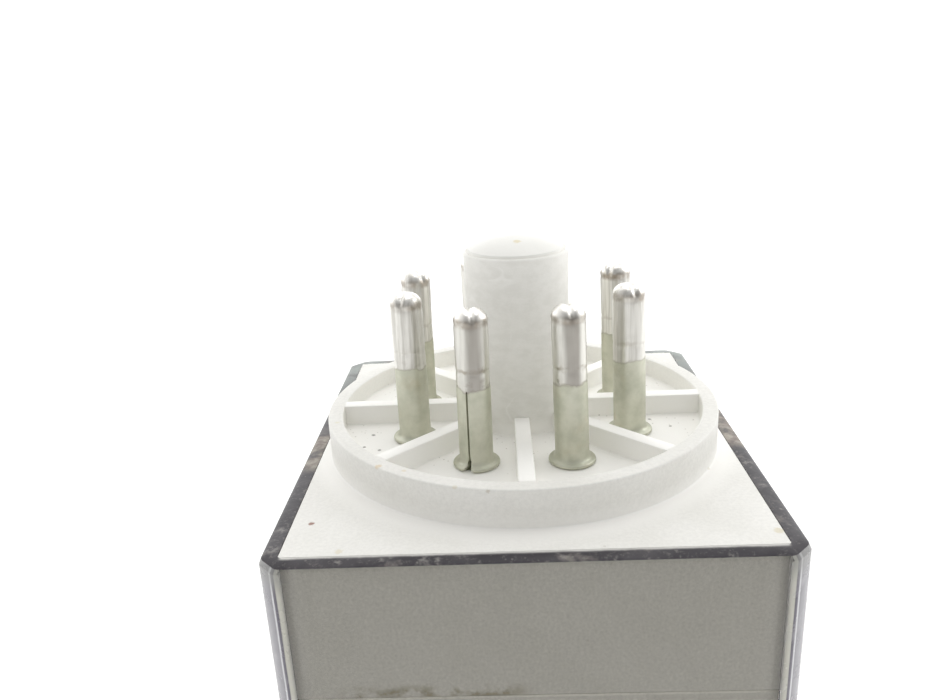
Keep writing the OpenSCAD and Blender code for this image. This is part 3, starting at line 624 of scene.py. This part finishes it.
# place and radius in millimetres, colour and strength of the larger marks on the base
BASE_SPOTS = (
    ((-3.0, -2.5, 57.0), 0.14, (0.2, 0.17, 0.13), 0.7),
    ((2.6, -2.9, 56.2), 0.14, (0.3, 0.26, 0.2), 0.6),
    ((-3.1, -2.6, 58.5), 0.16, (0.16, 0.13, 0.1), 0.8),
    ((0.1, -1.6, 67.7), 0.45, (0.7, 0.6, 0.34), 0.6),
    ((-8.0, -11.9, 54.8), 0.25, (0.7, 0.6, 0.42), 0.5),
    ((-4.6, -14.3, 54.8), 0.3, (0.72, 0.66, 0.52), 0.5),
    ((-13.9, -3.6, 54.8), 0.3, (0.72, 0.68, 0.5), 0.5),
    ((-9.8, -11.1, 54.8), 0.35, (0.66, 0.5, 0.28), 0.6),
    ((-2.5, -14.9, 54.7), 0.28, (0.55, 0.5, 0.42), 0.7),
    ((-14.1, -13.5, 52.0), 0.3, (0.25, 0.1, 0.06), 0.9),
    ((12.8, -7.6, 52.0), 0.32, (0.55, 0.48, 0.3), 0.6),
    ((15.1, -15.9, 52.0), 0.5, (0.62, 0.55, 0.36), 0.6),
    ((-11.7, -16.9, 52.0), 0.4, (0.65, 0.58, 0.4), 0.5),
    ((-11.9, -0.2, 53.25), 0.2, (0.1, 0.09, 0.08), 0.8),
    ((-11.4, -2.7, 53.25), 0.24, (0.1, 0.09, 0.08), 0.8),
    ((-11.8, -4.8, 53.25), 0.2, (0.12, 0.1, 0.08), 0.8),
    ((-10.6, -5.4, 53.25), 0.22, (0.1, 0.09, 0.08), 0.8),
    ((9.9, -1.5, 53.25), 0.2, (0.12, 0.1, 0.08), 0.7),
    ((11.2, -2.9, 53.25), 0.18, (0.12, 0.1, 0.08), 0.7),
)


def base_marks(t, base):
    """Painted light as paler zones of the base, painted shade on the dome, the worn post, dust, spots, and
    a smudge along the skirt's lower edge.
    """
    pale = (0.99, 0.98, 0.945)
    height = t.axis("Z")
    flat = t.node("ShaderNodeVectorMath", operation="MULTIPLY")
    t.link(t.place, flat.inputs[0])
    flat.inputs[1].default_value = (1, 1, 0)
    length = t.node("ShaderNodeVectorMath", operation="LENGTH")
    t.link(flat.outputs[0], length.inputs[0])
    reach = length.outputs["Value"]
    # painted light: the foot of the ring wall and the plate round it are paler, lifting the shade where
    # they meet
    painted_light_by_ring = t.ramp(reach, RING_R + 0.1 * MM, RING_R + 2.2 * MM, 1.0, 0.0)
    plate_top = t.ramp(height, RIM_Z + 0.02 * MM, RIM_Z + 0.2 * MM, 1.0, 0.0)
    wall_foot = t.ramp(height, RIM_Z + 0.1 * MM, RIM_Z + 1.3 * MM, 0.45, 0.0)
    base = t.tint(base, pale, painted_light_by_ring, t.math("MAXIMUM", plate_top, wall_foot))
    # painted light: the skirt is paler by the cover's corners, lifting the shade the corners cast
    painted_corner_light = t.ramp(t.away(t.axis("X")), 13.4 * MM, 15.2 * MM)
    skirt = t.ramp(height, RIM_Z - 0.5 * MM, RIM_Z - 0.2 * MM, 1.0, 0.0)
    base = t.tint(base, (0.99, 0.98, 0.95), painted_corner_light, skirt, 0.85)
    # painted light: paler inside the ring, lifting the shade that the ring and pins would leave there
    inside = t.times(t.ramp(reach, 13.7 * MM, 14.0 * MM, 1.0, 0.0),
                     t.ramp(height, RIM_Z + 1.0 * MM, RIM_Z + 1.2 * MM))
    base = t.tint(base, pale, inside, 0.85)
    # worn post with a few fine scratches
    post = t.times(t.ramp(reach, POST_R + 0.05 * MM, POST_R + 0.15 * MM, 1.0, 0.0),
                   t.ramp(height, FLOOR_Z + 0.3 * MM, FLOOR_Z + 1.5 * MM))
    mottle = t.patches(1.2, 5, 0.35, 0.65, rough=0.68, stretch=(1, 1, 1.6))
    base = t.tint(base, t.mix(mottle, (0.845, 0.835, 0.79), (0.78, 0.77, 0.72)), post, 0.8)
    hair = t.away(t.noise(5.0, 1, stretch=(1, 1, 1.6), distortion=0.3), 0.5)
    scratch = t.times(t.ramp(hair, 0.0, 0.008, 1.0, 0.0), t.patches(3.0, 2, 0.54, 0.64))
    base = t.tint(base, (1.0, 0.99, 0.96), scratch, post, 0.35)
    # painted shade: the dome is darker, holding back the light from above
    dome = t.ramp(height, POST_TOP_Z - 1.05 * MM, POST_TOP_Z - 0.9 * MM)
    base = t.tint(base, (0.83, 0.825, 0.785), dome, 0.8)
    # dust on the floor, and single spots
    on_floor = t.times(inside, t.ramp(height, FLOOR_Z + 0.1 * MM, FLOOR_Z + 0.3 * MM, 1.0, 0.0))
    dust = t.times(t.specks(0.32, 0.25, 0.25), t.patches(5.0, 2, 0.35, 0.55))
    base = t.tint(base, (0.3, 0.27, 0.22), dust, on_floor, 0.5)
    for point, radius, shade, strength in BASE_SPOTS:
        base = t.tint(base, shade, t.near(point, radius), strength)
    # brown smudge low on the front of the skirt
    along = t.ramp(t.away(t.axis("X"), -6.4 * MM), 4.2 * MM, 6.6 * MM, 1.0, 0.0)
    low = t.ramp(height, SKIRT_Z + 0.3 * MM, SKIRT_Z + 1.1 * MM, 1.0, 0.0)
    front = t.math("LESS_THAN", t.axis("Y"), 1 * MM - INNER_HALF[1])
    smudge = t.times(along, low, front, t.patches(1.3, 4, 0.4, 0.6))
    return t.tint(base, (0.36, 0.31, 0.18), smudge, 0.95)


PLASTIC = moulded_plastic("base_plastic", (0.85, 0.84, 0.80), (0.81, 0.80, 0.755), 0.5, base_marks)
CLEAR = clear_plastic()
RIM = dark_rim()
CORNER = corner_plastic()
FOOT = foot_painted_light()
PIN = pin_metal()
CARD = liner_card()
TAPE = tape_material()
WINDING = winding_material()
NYLON = moulded_plastic("bobbin_nylon", (0.80, 0.77, 0.66), (0.72, 0.69, 0.57), 0.42)
PHENOLIC = moulded_plastic("brown_phenolic", (0.095, 0.05, 0.032), (0.06, 0.032, 0.022), 0.4)
ZINC = metal("zinc_plated_iron", (0.6, 0.62, 0.63), (0.5, 0.51, 0.5), 0.38, (1, 1, 0.4), 0.0015)
IRON = metal("soft_iron", (0.6, 0.6, 0.61), (0.5, 0.5, 0.5), 0.28, (0.3, 0.3, 1.0))
STEEL = metal("fastener_steel", (0.66, 0.66, 0.65), (0.55, 0.55, 0.52), 0.26)
COPPER = metal("bare_copper", (0.72, 0.33, 0.17), (0.5, 0.2, 0.1), tarnish=(0.3, 0.12, 0.07))
BRONZE = metal("phosphor_bronze", (0.7, 0.45, 0.2), (0.6, 0.36, 0.15), 0.26, (0.15, 1, 1))
BRASS = metal("terminal_brass", (0.76, 0.6, 0.28), (0.64, 0.48, 0.2), 0.3, (1, 1, 0.3), 0.002,
              tarnish=(0.42, 0.3, 0.13))
TINNED = metal("tinned_brass", (0.72, 0.7, 0.64), (0.6, 0.58, 0.5))
SILVER = metal("contact_silver", (0.87, 0.86, 0.83), (0.72, 0.7, 0.66), 0.24, tarnish=(0.35, 0.33, 0.3))
SPRING = metal("spring_wire", (0.58, 0.59, 0.6), (0.45, 0.45, 0.46), 0.24)
BLUE = insulation("blue_insulation", (0.02, 0.06, 0.3), (0.015, 0.045, 0.22))
RED = insulation("red_insulation", (0.5, 0.02, 0.014), (0.4, 0.015, 0.012))
WHITE = insulation("white_insulation", (0.76, 0.75, 0.71), (0.68, 0.67, 0.62))

# ---------- cover ----------


def corner_outline(half_x, half_y, chamfer, z):
    """Rectangle with chamfered corners whose edges are softened, as one ring of points."""
    corners = [(half_x, -half_y), (half_x, half_y), (-half_x, half_y), (-half_x, -half_y)]
    soft = min(0.25 * MM, chamfer * 0.4)
    ring = []
    for i, (x, y) in enumerate(corners):
        here = Vector((x, y, z))
        before = Vector((*corners[i - 1], z))
        after = Vector((*corners[(i + 1) % 4], z))
        back, on = (before - here).normalized(), (after - here).normalized()
        into, out = here + back * chamfer, here + on * chamfer
        ring.append(here + back * (chamfer + CORNER_STRIP))
        for point, a, b in ((into, before, out), (out, into, after)):
            start = point + (a - point).normalized() * soft
            end = point + (b - point).normalized() * soft
            ring += [start.lerp(point, t).lerp(point.lerp(end, t), t) for t in (0.0, 0.5, 1.0)]
        ring.append(here + on * (chamfer + CORNER_STRIP))
    return ring


def outside_corner(point):
    """Whether a point lies on the outer chamfer of an upright corner or on the strip beside it."""
    hx, hy = COVER_HALF
    return abs(point.x) + abs(point.y) > hx + hy - COVER_CHAMFER - CORNER_STRIP


def cover_shell():
    """The clear shell: rounded far end, walls and bevelled rim, outside and inside."""
    wall = COVER_HALF[0] - INNER_HALF[0] - 0.03 * MM
    end, end_round = 1.3 * MM, 0.4 * MM
    corner, inner_corner = COVER_CHAMFER, 0.2 * MM
    foot, lip, inner_lip = 0.8 * MM, 0.42 * MM, 0.02 * MM
    hx, hy = COVER_HALF
    ix, iy = hx - wall, hy - wall
    steps = 6
    turns = [math.pi / 2 * i / steps for i in range(steps + 1)]
    rings = []
    for a in turns:
        back = foot * (1 - math.sin(a))
        rings.append(corner_outline(hx - back, hy - back, corner, foot * (1 - math.cos(a))))
    for back, down in ((0.0, lip), (0.3 * lip, 0.3 * lip), (lip, 0.0)):
        rings.append(corner_outline(hx - back, hy - back, corner, RIM_Z - down))
    for out, down in ((inner_lip, 0.0), (0.0, inner_lip)):
        rings.append(corner_outline(ix + out, iy + out, inner_corner, RIM_Z - down))
    for a in turns:
        back = end_round * (1 - math.cos(a))
        z = end + end_round * (1 - math.sin(a))
        rings.append(corner_outline(ix - back, iy - back, inner_corner, z))
    looks = [CLEAR, RIM, CORNER, FOOT]
    obj = add_mesh("cover_shell", *loft(rings), looks, "relay", "clear_cover", ("cover",), 25)
    for poly in obj.data.polygons:
        heights = [obj.data.vertices[i].co.z for i in poly.vertices]
        if min(heights) > RIM_Z - 0.5 * lip and abs(poly.normal.z) > 0.9:
            poly.material_index = looks.index(RIM)
        elif abs(poly.normal.z) < 0.95 and outside_corner(poly.center):
            poly.material_index = looks.index(CORNER)
        # the faces of the far end get the grey painted-light finish
        elif max(heights) < foot + 0.01 * MM:
            poly.material_index = looks.index(FOOT)


cover_shell()

# ---------- base, liner and frame parts ----------

FILLET_SINK = 0.003 * MM    # how far a fillet's edge dips under the face it runs out on


def square_ring(half_x, half_y, z):
    """Points round a rectangle, its corners included."""
    per_side = 12
    ring = []
    for k in range(4):
        for i in range(per_side):
            t = 2 * i / per_side - 1
            x, y = ((t, -1), (1, t), (-t, 1), (-1, -t))[k]
            ring.append(Vector((half_x * x, half_y * y, z)))
    return ring


def plate_and_skirt():
    """The square plate with the skirt below it and the open middle of the post."""
    hx, hy = INNER_HALF
    edge, thick, crown, bore = 0.04 * MM, 0.95 * MM, 0.03 * MM, 2.3 * MM
    ix, iy = hx - thick, hy - thick
    rings = []
    for degrees in range(0, 91, 15):
        a = math.radians(degrees)
        back = crown * (1 - math.sin(a))
        rings.append(square_ring(hx - back, hy - back, RIM_Z - 0.8 * crown * (1 - math.cos(a))))
    rings += [square_ring(hx, hy, SKIRT_Z + edge), square_ring(hx - edge, hy - edge, SKIRT_Z)]
    rings += [square_ring(ix + edge, iy + edge, SKIRT_Z), square_ring(ix, iy, SKIRT_Z + edge)]
    rings.append(square_ring(ix, iy, PLATE_Z))
    for z in (PLATE_Z, RIM_Z - 0.3 * MM):
        rings.append([bore * p.normalized() + Vector((0, 0, z)) for p in square_ring(hx, hy, 0)])
    return loft(rings)


def ring_floor_post():
    """One turned skin: foot of the ring wall, wall, floor, post, its narrow bevel and its dome."""
    foot, soft, inner = 0.16 * MM, 0.12 * MM, RING_R - RING_WALL
    buried = RIM_Z - 0.2 * MM
    post_edge, dome, dip = POST_TOP_Z - 1.1 * MM, 1.08 * MM, 0.02 * MM
    profile = [(0.05 * MM, buried), (RING_R + foot, buried)]
    profile += arc(RING_R + foot, RIM_Z + foot - FILLET_SINK, foot, 270, 180)
    profile += [(RING_R, RIM_Z + 1.4 * MM)]
    profile += arc(RING_R - soft, RING_TOP_Z - soft, soft, 0, 90)
    profile += arc(inner + soft, RING_TOP_Z - soft, soft, 90, 180)
    profile += arc(inner - foot, FLOOR_Z + foot, foot, 0, -90)
    profile += [(POST_R + 5 * MM, FLOOR_Z)]
    profile += arc(POST_R + foot, FLOOR_Z + foot, foot, 270, 180)
    profile += [(POST_R, FLOOR_Z + (post_edge - FLOOR_Z) * t) for t in (0.25, 0.5, 0.75)]
    bevel = ((0.0, -0.16), (0.03, -0.06), (0.09, 0.02), (0.17, 0.05), (0.24, 0.01), (0.3, 0.0))
    profile += [(POST_R - back * MM, post_edge + up * MM) for back, up in bevel]
    profile += [(POST_R * k, post_edge - dip + (dome + dip) * (1 - k * k) ** 0.9)
                for k in (0.9, 0.85, 0.75, 0.62, 0.48, 0.33, 0.18, 0.02)]
    return lathe(profile, Vector((0, 0, 0)), 192)


def rib(angle_deg):
    """Radial rib with softened top edges and a small fillet along its foot."""
    half, soft, foot = 0.55 * MM, 0.08 * MM, 0.1 * MM
    top = RING_TOP_Z + 0.003 * MM
    right = [(half + foot, FLOOR_Z - 0.1 * MM)]
    right += arc(half + foot, FLOOR_Z + foot - FILLET_SINK, foot, 270, 180, 3)
    right += arc(half - soft, top - soft, soft, 0, 90, 3)
    section = right + [(-y, z) for y, z in reversed(right)]
    a = math.radians(angle_deg)
    out, side = Vector((math.cos(a), math.sin(a), 0)), Vector((-math.sin(a), math.cos(a), 0))
    ends = ((POST_R - 0.2 * MM, 0.0), (RING_R - RING_WALL, 0.0), (RING_R - 0.8 * RING_WALL, 0.01 * MM))
    return loft([[out * r + side * y + Vector((0, 0, z - drop)) for y, z in section] for r, drop in ends])


def post_key():
    """The key on the far side of the post, with softened edges."""
    half, soft = 1.0 * MM, 0.16 * MM
    near, far = POST_R - 0.6 * MM, POST_R + 1.1 * MM
    top = POST_TOP_Z - 2.3 * MM
    plan = [(-half, near), (half, near)]
    plan += arc(half - soft, far - soft, soft, 0, 90, 3)
    plan += arc(soft - half, far - soft, soft, 90, 180, 3)
    middle = Vector((0, (near + far) / 2, 0))
    rings = []
    for share, z in ((1.0, FLOOR_Z - 0.1 * MM), (1.0, top - soft), (0.95, top - 0.3 * soft), (0.84, top)):
        rings.append([middle + (Vector((x, y, 0)) - middle) * share + Vector((0, 0, z)) for x, y in plan])
    return loft(rings)


def screw_boss(x):
    """Hollow boss under the plate for a frame screw."""
    hole, outer, soft = 1.18 * MM, 2.5 * MM, 0.15 * MM
    low = BASE_LOW.z
    profile = [(hole, PLATE_Z + 0.02 * MM), (hole, low + soft), (hole + soft, low)]
    profile += [(outer - soft, low), (outer, low + soft), (outer, PLATE_Z + 0.08 * MM)]
    return lathe(profile, Vector((x, 0, 0)), 48)


def liner_sheet():
    """The card behind the front wall, reaching almost to the skirt."""
    low, high = LINER_LOW, LINER_HIGH
    plan = ((low.x, low.y), (high.x, low.y), (high.x, high.y), (low.x, high.y))
    heights = (low.z, low.z + 13 * MM, low.z + 26 * MM, SKIRT_Z - 0.02 * MM)
    return loft([[Vector((x, y, z)) for x, y in plan] for z in heights])


BOSS_X = 12 * MM
BASE_SHAPES = [plate_and_skirt(), ring_floor_post(), post_key(), screw_boss(-BOSS_X), screw_boss(BOSS_X)]
BASE_SHAPES += [rib(45 * k) for k in range(8)]
add_mesh("base_moulding", *join_shapes(BASE_SHAPES), PLASTIC, "relay", "base_moulding", ("base",), 38)
add_mesh("liner_sheet", *liner_sheet(), CARD, "relay", "liner", ("front_liner",))
# nodes that only need bevelled edges, with the bevel in millimetres
for name, width, material in (
        ("yoke", 0.16, ZINC), ("core", 0.12, IRON), ("shading_ring", 0.06, COPPER),
        ("bobbin", 0.14, NYLON), ("coil_winding", 0.05, WINDING), ("coil_tape", 0.05, TAPE),
        ("armature", 0.14, ZINC), ("arm_insulator", 0.1, PHENOLIC), ("clamp_bar", 0.14, PHENOLIC),
        ("armature_rivets", 0.08, STEEL), ("spring_anchor", 0.08, STEEL), ("contact_block", 0.16, PHENOLIC),
        ("frame_screws", 0.1, STEEL), ("block_screws", 0.1, STEEL)):
    polished(name, width * MM, material)
for side, _ in SIDES:
    for name, width, material in (
            ("coil_lug", 0.08, TINNED), ("contact_arm", 0.05, BRONZE), ("moving_contact", 0.06, SILVER),
            ("no_terminal", 0.08, BRASS), ("nc_terminal", 0.08, BRASS),
            ("no_contact", 0.06, SILVER), ("nc_contact", 0.06, SILVER)):
        polished(f"{name}_{side}", width * MM, material)

# ---------- plug pins ----------

# degrees from the outward side of each pin to its seam
SEAM_TURN = {1: 20, 2: 65, 3: 115, 4: 160, 5: 0, 6: -110, 7: -70, 8: -20}
# degrees from the front of each pin to the split in its tip
GROOVE_TURN = {1: 30, 2: -35, 3: 20, 4: 8, 5: 6, 6: -18, 7: 40, 8: -25}
# millimetres in x and y that a tip stands off its centre
PIN_LEAN = {2: (-0.24, 0), 3: (-0.24, 0), 4: (-0.2, 0.03), 5: (0.06, 0), 7: (0.14, 0)}
NECK_Z = PIN_TIP_Z - 1.05 * MM


def pin_profile():
    """Outline of a pin: stub in the plate, collar, flare, shaft in even steps, and domed tip."""
    stub_z, lip, dome = PLATE_Z - 0.4 * MM, 0.16 * MM, 0.9 * MM
    profile = [(0.3 * MM, stub_z), (1.7 * MM, stub_z), (1.75 * MM, PLATE_Z - 0.05 * MM),
               (PIN_R, PLATE_Z), (PIN_R, FLOOR_Z), (COLLAR_R - 0.12 * MM, FLOOR_Z + 0.002 * MM)]
    profile += arc(COLLAR_R - lip, FLOOR_Z + 0.17 * MM, lip, -65, 70, 6)
    flare = COLLAR_R - 0.2 * MM - PIN_R
    profile += [(PIN_R + flare * (1 - math.sin(a)), FLOOR_Z + (0.34 + 0.5 * (1 - math.cos(a))) * MM)
                for a in (0.15, 0.45, 0.75, 1.05, 1.4)]
    low, high, steps = FLOOR_Z + 0.95 * MM, PIN_TIP_Z - dome, 72
    profile += [(PIN_R, low + (high - low) * i / steps) for i in range(steps + 1)]
    for k in range(1, 25):
        a = math.pi / 2 * k / 24.5
        profile.append((PIN_R * math.cos(a) ** 0.8, high + dome * math.sin(a) ** 0.9))
    return profile


def plug_pin(number):
    """Rolled hollow pin: collar, seam that opens at the foot, solder skin and two-lobed tip."""
    centre = PIN_CENTRES[number]
    rng = random.Random(number)
    seam = math.atan2(centre.y, centre.x) + math.radians(SEAM_TURN[number])
    groove = math.radians(270 + GROOVE_TURN[number])
    solder_z = TIN_Z + (rng.uniform(-0.1, 0.1) - 0.1) * MM

    def shape(a, r, z):
        out = r
        if FLOOR_Z < z < solder_z:
            gap = 0.035 + 0.18 * math.exp(-(z - FLOOR_Z) / (0.3 * MM))
            depth = (0.22 + 0.7 * clamp((FLOOR_Z + 0.75 * MM - z) / (0.3 * MM))) * MM
            out -= depth * math.exp(-(turn_between(a, seam) / gap) ** 4)
        if z >= solder_z:
            skin = -0.02 * MM * min((z - solder_z) / (0.12 * MM), 1.0)
            lump = 0.008 * MM * math.sin(2 * a + number) * math.sin(z / MM * 1.1 + number)
            sag = 0.03 * MM * bell(z - solder_z - TIN_RING, 0.14 * MM)
            neck = 0.03 * MM * bell(z - NECK_Z, 0.16 * MM)
            dent = 0.14 * MM * clamp((z - NECK_Z) / (0.45 * MM)) * bell(turn_between(a, groove), 0.2)
            out += (skin + lump - sag - neck - dent) * min(r / PIN_R, 1.0)
        return min(out, COLLAR_R)

    verts, faces = lathe(pin_profile(), centre, 112, shape)
    lean = Vector((*PIN_LEAN.get(number, (0, 0)), 0)) * MM
    toward = Vector((math.cos(groove), math.sin(groove), 0))
    for v in verts:
        place = v - centre
        rise = clamp((v.z - PIN_TIP_Z + 0.8 * MM) / (0.6 * MM))
        across = place.cross(toward).z
        # the notch crosses the whole tip of the two front pins, the near side of the others
        ahead = 1.0 if number in (4, 5) else clamp(place.dot(toward) / PIN_R + 0.35)
        v.z -= 0.15 * MM * rise * ahead * bell(across, 0.24 * MM)
        v.z -= 0.1 * MM * rise * (across / PIN_R) ** 4
        v += lean * clamp((v.z - FLOOR_Z - 1 * MM) / (PIN_TIP_Z - FLOOR_Z))
    add_mesh(f"plug_pin_{number}", verts, faces, PIN, "relay", "plug_pin", (f"pin_{number}",), 60)


for number in PIN_CENTRES:
    plug_pin(number)

# ---------- leads, braids and spring ----------

LEAD_R, WIRE_R = 0.5 * MM, 0.28 * MM
# pin, material, slot and route of each right-hand lead, in millimetres, up to the foot of its pin
LEAD_ROUTES = {
    "nc_lead": (4, WHITE, "lead_white",
                [(6, -15.85, 41.3), (5.9, -15.2, 42.8), (5.1, -13, 45), (3.8, -9.6, 46.8)]),
    "no_lead": (3, RED, "lead_red", [(7, -13.85, 41.3), (7.3, -13, 43), (8.2, -9.4, 45.4), (8.4, -5, 47)]),
    "coil_lead": (2, BLUE, "lead_blue", [(10.7, 6, 41.3), (10.6, 5.8, 43), (9.6, 4.8, 45.6)]),
}
BRAID_ROUTE = [(9.7, -2.05, 8.7), (10.1, -2.2, 10), (11.9, -1.6, 14), (12.9, 0.5, 20), (12.9, 4.5, 27),
               (12.3, 8.6, 33), (11.2, 11, 39), (8.4, 12.2, 44), (4.8, 10, 47)]


def lead_path(route, number, sign, steps):
    """The conductor's centre line from its terminal into its pin, in metres."""
    pin = PIN_CENTRES[number]
    points = [Vector((x, y, z)) * MM for x, y, z in route]
    points += [Vector((pin.x, pin.y, z * MM)) for z in (48.6, 50, 54)]
    return [Vector((sign * p.x, p.y, p.z)) for p in spline(points, steps)]


def solder_blob(point):
    """A squat round drop of solder about a point."""
    radius, squat = 0.62 * MM, 0.9
    turns = [math.radians(d) for d in range(-80, 81, 20)]
    return lathe([(radius * math.cos(a), point.z + squat * radius * math.sin(a)) for a in turns], point, 20)


for side, sign in SIDES:
    for name, (number, material, slot, route) in LEAD_ROUTES.items():
        path = lead_path(route, number, sign, 10)
        # the insulation starts a little way up the bare wire
        shapes = [tube(path[3:], LEAD_R, 18), tube(path[:5], WIRE_R, 12)]
        node = f"{name}_{side}"
        add_mesh(f"{name}_wire_{side}", *join_shapes(shapes), material, "relay", slot, (node,), 50)
        add_mesh(f"{name}_solder_{side}", *solder_blob(path[0]), TINNED, "relay", "tinned_brass")


def braid(side, sign):
    """Copper braid: two sets of strands that wind opposite ways round the centre line."""
    path = lead_path(BRAID_ROUTE, 1, sign, 16)
    frames = frames_along(path)
    strands, pitch, reach, waver, strand_r = 6, 3.2 * MM, 0.3 * MM, 0.05 * MM, 0.11 * MM
    shapes = []
    for turn in (-1, 1):
        for k in range(strands):
            along = 0.0
            line = []
            for i, (p, (n, b)) in enumerate(zip(path, frames)):
                if i:
                    along += (p - path[i - 1]).length
                a = turn * 2 * math.pi * along / pitch + 2 * math.pi * k / strands
                weave = reach + waver * math.sin(a * strands / 2 + turn)
                line.append(p + weave * (n * math.cos(a) + b * math.sin(a)))
            shapes.append(tube(line, strand_r, 6))
    node = f"braid_{side}"
    obj = add_mesh(f"copper_{node}", *join_shapes(shapes), COPPER, None, "braid_copper", (node,), 60)
    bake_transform(obj)


def return_spring():
    """The return spring as drawn wire: hook at the armature, coil, and a loop round the anchor."""
    centre_y, wire_r = 15.4 * MM, 0.17 * MM
    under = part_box("return_spring")[0].z + wire_r
    coil_r, turns, z0, z1 = 1.1 * MM, 12, 14.2 * MM, 25.2 * MM
    loop_z, loop_r = 27 * MM, 0.74 * MM
    hook = [(0, centre_y - 1.1 * MM, under), (0, centre_y - 0.3 * MM, under)]
    hook += [(0, centre_y, under + 0.3 * MM), (0, centre_y, 12.7 * MM)]
    hook.append((coil_r * 0.55, centre_y, z0 - 0.75 * MM))
    steps = 24 * turns
    helix = []
    for i in range(steps + 1):
        a = 2 * math.pi * turns * i / steps
        z = z0 + (z1 - z0) * i / steps
        helix.append(Vector((coil_r * math.cos(a), centre_y + coil_r * math.sin(a), z)))
    loop = []
    for degrees in range(30, 301, 15):
        a = math.radians(degrees)
        loop.append(Vector((loop_r * math.sin(a), centre_y, loop_z - loop_r * math.cos(a))))
    path = spline(hook + [helix[0]], 6)[:-1] + helix
    path += spline([helix[-1], (coil_r * 0.5, centre_y, z1 + 0.65 * MM), loop[0]], 6)[1:-1] + loop
    verts, faces = tube(path, wire_r, 10)
    obj = add_mesh("return_spring_coil", verts, faces, SPRING, None, "spring_steel", ("return_spring",), 60)
    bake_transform(obj)


for side, sign in SIDES:
    braid(side, sign)
return_spring()

# ---------- stage, light and camera ----------


def stage():
    """A wide white floor just under the part."""
    t = Tree("studio_floor")
    t.set(Base_Color=t.mix(t.noise(50.0), (0.93, 0.93, 0.925), (0.9, 0.9, 0.895)), Roughness=0.7)
    t.set(Emission_Color=colour((1, 1, 1)), Emission_Strength=0.25)
    half, z = 3.0, cad_box[0][2] - 0.02 * MM
    mesh = bpy.data.meshes.new("studio_floor")
    corners = [(-half, -half, z), (half, -half, z), (half, half, z), (-half, half, z)]
    mesh.from_pydata(corners, [], [(0, 1, 2, 3)])
    mesh.materials.append(t.material)
    obj = new_object("studio_floor", mesh)


def world():
    """White surroundings, brightest low down and behind the object, softer in front of it."""
    scene = bpy.context.scene
    scene.world = bpy.data.worlds.new("studio")
    scene.world.use_nodes = True
    tree = scene.world.node_tree
    tree.nodes.clear()
    made = {k: tree.nodes.new(v) for k, v in dict(
        place="ShaderNodeTexCoord", split="ShaderNodeSeparateXYZ", depth="ShaderNodeMapRange",
        height="ShaderNodeMapRange", both="ShaderNodeMath",
        light="ShaderNodeBackground", out="ShaderNodeOutputWorld").items()}
    for name, values in (("depth", (-1.0, 0.75, 0.62, 2.2)), ("height", (0.0, 1.0, 1.15, 0.6))):
        made[name].interpolation_type = "SMOOTHSTEP"
        for key, value in zip(("From Min", "From Max", "To Min", "To Max"), values):
            made[name].inputs[key].default_value = value
    made["both"].operation = "MULTIPLY"
    for source, output, target, socket in (
            ("place", "Generated", "split", 0), ("split", "Y", "depth", "Value"),
            ("split", "Z", "height", "Value"), ("depth", 0, "both", 0), ("height", 0, "both", 1),
            ("both", 0, "light", "Strength"), ("light", 0, "out", 0)):
        tree.links.new(made[source].outputs[output], made[target].inputs[socket])


def area_light(name, place, size, power):
    """A round light that shines at the middle of the plug."""
    data = bpy.data.lights.new(name, "AREA")
    data.shape = "DISK"
    data.size = size
    data.energy = power
    obj = new_object(name, data)
    obj.location = place
    aim = Vector((0, 0, RIM_Z)) - Vector(place)
    obj.rotation_euler = aim.to_track_quat("-Z", "Y").to_euler()


def camera():
    """Close above the front edge, looking down on the plug with a slight roll."""
    yaw, pitch, roll = (math.radians(a) for a in (-2.631, -18.636, -3.062))
    offset = Vector((-1.271, -59.836, 27.158)) * MM  # from the middle of the rim
    forward = Vector((math.sin(yaw) * math.cos(pitch), math.cos(yaw) * math.cos(pitch), math.sin(pitch)))
    level = Vector((math.cos(yaw), -math.sin(yaw), 0))
    above = level.cross(forward)
    right = level * math.cos(roll) + above * math.sin(roll)
    up = -level * math.sin(roll) + above * math.cos(roll)
    turn = Matrix((right, up, -forward)).transposed().to_4x4()
    data = bpy.data.cameras.new("camera")
    data.sensor_width = 36.0
    data.sensor_fit = "HORIZONTAL"
    data.lens = 31.477813
    data.clip_start = 1 * MM
    obj = new_object("camera", data)
    obj.matrix_world = Matrix.Translation(Vector((0, 0, RIM_Z)) + offset) @ turn
    bpy.context.scene.camera = obj


stage()
world()
area_light("top_light", (0.02, 0.1, 0.42), 0.3, 0.3)
area_light("right_light", (0.34, 0.1, 0.24), 0.25, 0.22)
camera()
bpy.context.scene.view_settings.view_transform = "Standard"
